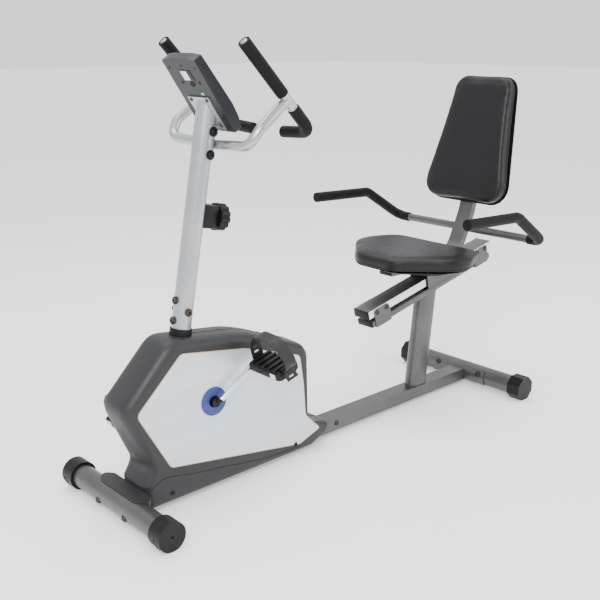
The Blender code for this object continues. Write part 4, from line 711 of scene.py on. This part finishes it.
# %% Crank arms
for side in ("left", "right"):
    arm = merged_copy("crank_" + side)
    crease(arm, 40)
    for face in arm.faces:
        middle = face.calc_center_median()
        face.material_index = 1 if math.hypot(middle.x - CRANK[0], middle.z - CRANK[1]) < 0.0125 else 0
    show(
        arm, f"crank_{side}_finished", [chrome_plate, black_polypropylene], "crank",
        ["crank_" + side]
    )
print("crank arms finished")

# %% [markdown]
# ## The console's back
# The rear cover has three screw holes along its top, a window onto the circuit board with a round jack
# below it,
# two keyhole slots for wall mounting, a green lamp, and the steel plate that takes it to the mast with four
# screws.

# %% Console fittings
behind = CONSOLE.to_3x3() @ Vector((-1, 0, 0))
plane = max((v.co - CONSOLE.translation).dot(behind) for v in nodes["console_back"].data.vertices)
plate = max((v.co - CONSOLE.translation).dot(behind) for v in nodes["console_plate"].data.vertices)
print("console back plane", round(plane, 4), "plate", round(plate, 4))


def on_back(y, z, out=0.0):
    return CONSOLE @ Matrix.Translation((-plane - out, y, z))


# The screw holes, the jack and the keyholes are thin dark discs on the cover: painted shade where the cover is
# open.
for i, (y, z) in enumerate(((-0.050, 0.128), (0.0, 0.134), (0.050, 0.128))):
    hole = spun([(0, 0), (0.0026, 0), (0.0026, 0.0008), (0, 0.0008)], 12)
    fitting(
        f"console_screw_hole_{i}", hole, on_back(y, z) @ facing((0, 0, 0), (-1, 0, 0)), dark_hollow, "frame",
    )
fitting(
    "console_window_rim", block((0.0024, 0.040, 0.030), 0.001), on_back(-0.004, 0.108), console_abs, "frame",
)
fitting(
    "console_window", block((0.0024, 0.022, 0.024), 0.0005), on_back(0.002, 0.108, 0.0006), circuit_board,
    "frame"
)
jack = spun([(0, 0), (0.0075, 0), (0.0075, 0.0015), (0.0050, 0.0015), (0.0050, 0.0004), (0, 0.0004)], 20)
fitting(
    "console_jack", jack, on_back(-0.006, 0.084) @ facing((0, 0, 0), (-1, 0, 0)), dark_hollow, "frame",
)
for i, y in enumerate((-0.036, 0.030)):
    slot_hole = spun([(0, 0), (0.0042, 0), (0.0042, 0.0009), (0, 0.0009)], 16)
    fitting(
        f"console_keyhole_{i}", slot_hole, on_back(y, 0.088) @ facing((0, 0, 0), (-1, 0, 0)), dark_hollow,
        "frame"
    )
fitting(
    "console_lamp", block((0.002, 0.010, 0.006), 0.0006), on_back(-0.024, 0.058), green_lamp, "frame",
)
for i, (y, z) in enumerate(((-0.030, 0.042), (0.030, 0.042), (-0.030, -0.030), (0.030, -0.030))):
    place = CONSOLE @ Vector((-plate, y, z))
    bolt(f"console_plate_screw_{i}", place, behind, 0.0038)
print("console fittings:", 12)

# %% [markdown]
# ## Seams
# The shroud is two shells that meet along the middle, with a lower cover let into them, and each joint is a
# thin
# shadow. It is drawn by slicing the shell with a plane, chaining the cut edges into loops, and running a
# thin dark
# tube along the longest one. The cushions' seams are drawn in the same way, in vinyl.


# %% Seam helpers
def loops_of(bm, point, direction):
    """The closed loops of points where a plane cuts a bmesh, the longest first."""
    bmesh.ops.bisect_plane(
        bm, geom=[
            *bm.verts, *bm.edges, *bm.faces
        ], plane_co=point, plane_no=direction, clear_inner=True, clear_outer=True
    )
    left, found = set(bm.verts), []
    while left:
        vert = left.pop()
        line = [vert]
        while True:
            ahead = [e.other_vert(line[-1]) for e in line[-1].link_edges if e.other_vert(line[-1]) in left]
            if not ahead:
                break
            left.discard(ahead[0])
            line.append(ahead[0])
        found.append([v.co.copy() for v in line])
    bm.free()
    return sorted(found, key=lambda line: -sum((a - b).length for a, b in zip(line, line[1:])))


def seam(name, points, radius, made_of, body, slot, closed=True):
    """A thin tube along these points."""
    line = bpy.data.curves.new(name, "CURVE")
    line.dimensions, line.bevel_depth, line.bevel_resolution, line.use_fill_caps = "3D", radius, 2, True
    spline = line.splines.new("POLY")
    spline.points.add(len(points) - 1)
    for spot, place in zip(spline.points, points):
        spot.co = (*place, 1)
    spline.use_cyclic_u = closed
    guide = bpy.data.objects.new(name + "_guide", line)
    scene.collection.objects.link(guide)
    bm = bmesh.new()
    bm.from_mesh(bpy.data.meshes.new_from_object(guide.evaluated_get(bpy.context.evaluated_depsgraph_get())))
    bpy.data.objects.remove(guide)
    for face in bm.faces:
        face.smooth = True
    return show(bm, name, made_of, body)


# %% Draw the seams
outline = loops_of(merged_copy("shroud_left"), (0, -0.0008, 0), (0, 1, 0))[0]
seam("shroud_seam", [(p.x, 0, p.z) for p in outline], 0.0009, dark_hollow, "frame", "shroud_plastic")
cover = [
    (0.0565, 0.072), (0.0690, 0.079), (0.0805, 0.0855), (0.0925, 0.088), (0.110, 0.0865), (0.150, 0.0785)
]
cover += [(0.1935, 0.069), (0.2575, 0.060), (0.340, 0.046), (0.4195, 0.034), (0.5365, 0.030)]
for side, sign in (("left", -1), ("right", 1)):
    seam(
        f"lower_cover_seam_{side}", [(FRONT_X + x, sign * 0.0586, z) for x, z in cover],
        0.0009, dark_hollow, "frame", "shroud_plastic", False
    )
for piece, origin, up, height in (
    (seat, Vector((0, 0, 0.4595)), Vector((0, 0, 1)), 0.016),
    (back, BACKREST @ Vector((-0.0106, 0, 0)), back_up, 0.017),
):
    pad = bmesh.new()
    pad.from_mesh(piece.data)
    line = loops_of(pad, origin + up * height, up)[0][::3]
    seam(piece.name.replace("padded", "piping"), line, 0.0022, grained_vinyl, "seat", "black_vinyl")
print("seams:", 5)

# %% [markdown]
# ## Small parts
# The carriage carries a black nylon liner where it slides along the rail, the upper grips are open at their
# ends and
# show the tube's plug, and the shroud has a small round power socket low on its front.

# %% Liner, grip ends and socket
for part, y, z, size in (
    ("top", 0, 0.0022, (0.006, 0.064, 0.003)),
    ("left", -0.0318, -0.0135, (0.006, 0.0026, 0.030)),
    ("right", 0.0318, -0.0135, (0.006, 0.0026, 0.030)),
):
    where = RAIL @ Matrix.Translation((-0.0315, y, z))
    fitting(f"carriage_liner_{part}", block(size, 0.0006), where, black_polypropylene, "seat")
for side, sign in (("left", -1), ("right", 1)):
    solid = merged_copy("upper_grip_" + side)
    grip = sorted((v.co.copy() for v in solid.verts), key=lambda p: p.z)
    solid.free()
    half = len(grip) // 2
    middle = sum(grip, Vector()) / len(grip)
    along = (sum(grip[half:], Vector()) / (len(grip) - half) - sum(grip[:half], Vector()) / half).normalized()
    tip = middle + along * max((p - middle).dot(along) for p in grip)
    plug = spun([(0, 0), (0.0088, 0), (0.0088, 0.0006), (0.0078, 0.0010), (0, 0.0012)], 24)
    fitting(f"grip_end_{side}", plug, facing(tip, along), [turned_steel], "frame")
socket = spun(
    [(0, 0), (0.013, 0), (0.013, 0.004), (0.011, 0.006), (0.0065, 0.006), (0.0060, 0.002), (0, 0.002)], 24
)
front = min(outline, key=lambda p: abs(p.z - 0.226) + (0 if p.x < -0.6 else 1))
where = facing((front.x - 0.001, 0, front.z), (-0.92, 0, -0.39))
fitting("power_socket", socket, where, [black_polypropylene], "frame")
print("small parts:", 6)

# %% [markdown]
# ## The studio
# A pale seamless floor, a large soft light above and to the left, a weaker one from the right to open the
# shadows,
# and a long light overhead that draws the highlights along the tubes.

# %% Floor
floor_paint = finish(
    "studio_floor", ("#f6f6f6", "#fafafa"), 400, (0.6, 0.7), 80, 4.0, 0.00001, Emission_Color=(1, 1, 1, 1),
    Emission_Strength=0.3
)
bm = bmesh.new()
bmesh.ops.create_grid(bm, x_segments=8, y_segments=8, size=30)
floor_mesh = bpy.data.meshes.new("studio_floor")
bm.to_mesh(floor_mesh)
bm.free()
floor = bpy.data.objects.new("studio_floor", floor_mesh)
floor_mesh.materials.append(floor_paint)
scene.collection.objects.link(floor)
print("floor:", 60, "m wide")


# %% Lights
def softbox(name, place, target, width, height, watts):
    """A rectangular light that faces a point."""
    light = bpy.data.lights.new(name, "AREA")
    light.shape, light.size, light.size_y, light.energy = "RECTANGLE", width, height, watts
    made = bpy.data.objects.new(name, light)
    made.location = place
    made.rotation_mode = "QUATERNION"
    made.rotation_quaternion = (Vector(target) - Vector(place)).to_track_quat("-Z", "Y")
    scene.collection.objects.link(made)


softbox("key_softbox", (-2.6, -2.2, 3.0), (0, 0, 0.4), 1.8, 1.8, 150)
softbox("fill_softbox", (2.4, -2.6, 1.8), (0, 0, 0.4), 2.0, 1.6, 35)
softbox("overhead_softbox", (0.2, 0.6, 3.4), (0, 0, 0.4), 3.0, 2.0, 80)
studio = bpy.data.worlds.new("studio")
studio.use_nodes = True
studio.node_tree.nodes["Background"].inputs["Color"].default_value = (0.95, 0.96, 1.0, 1)
studio.node_tree.nodes["Background"].inputs["Strength"].default_value = 1.4
scene.world = studio
print("lights:", 3)
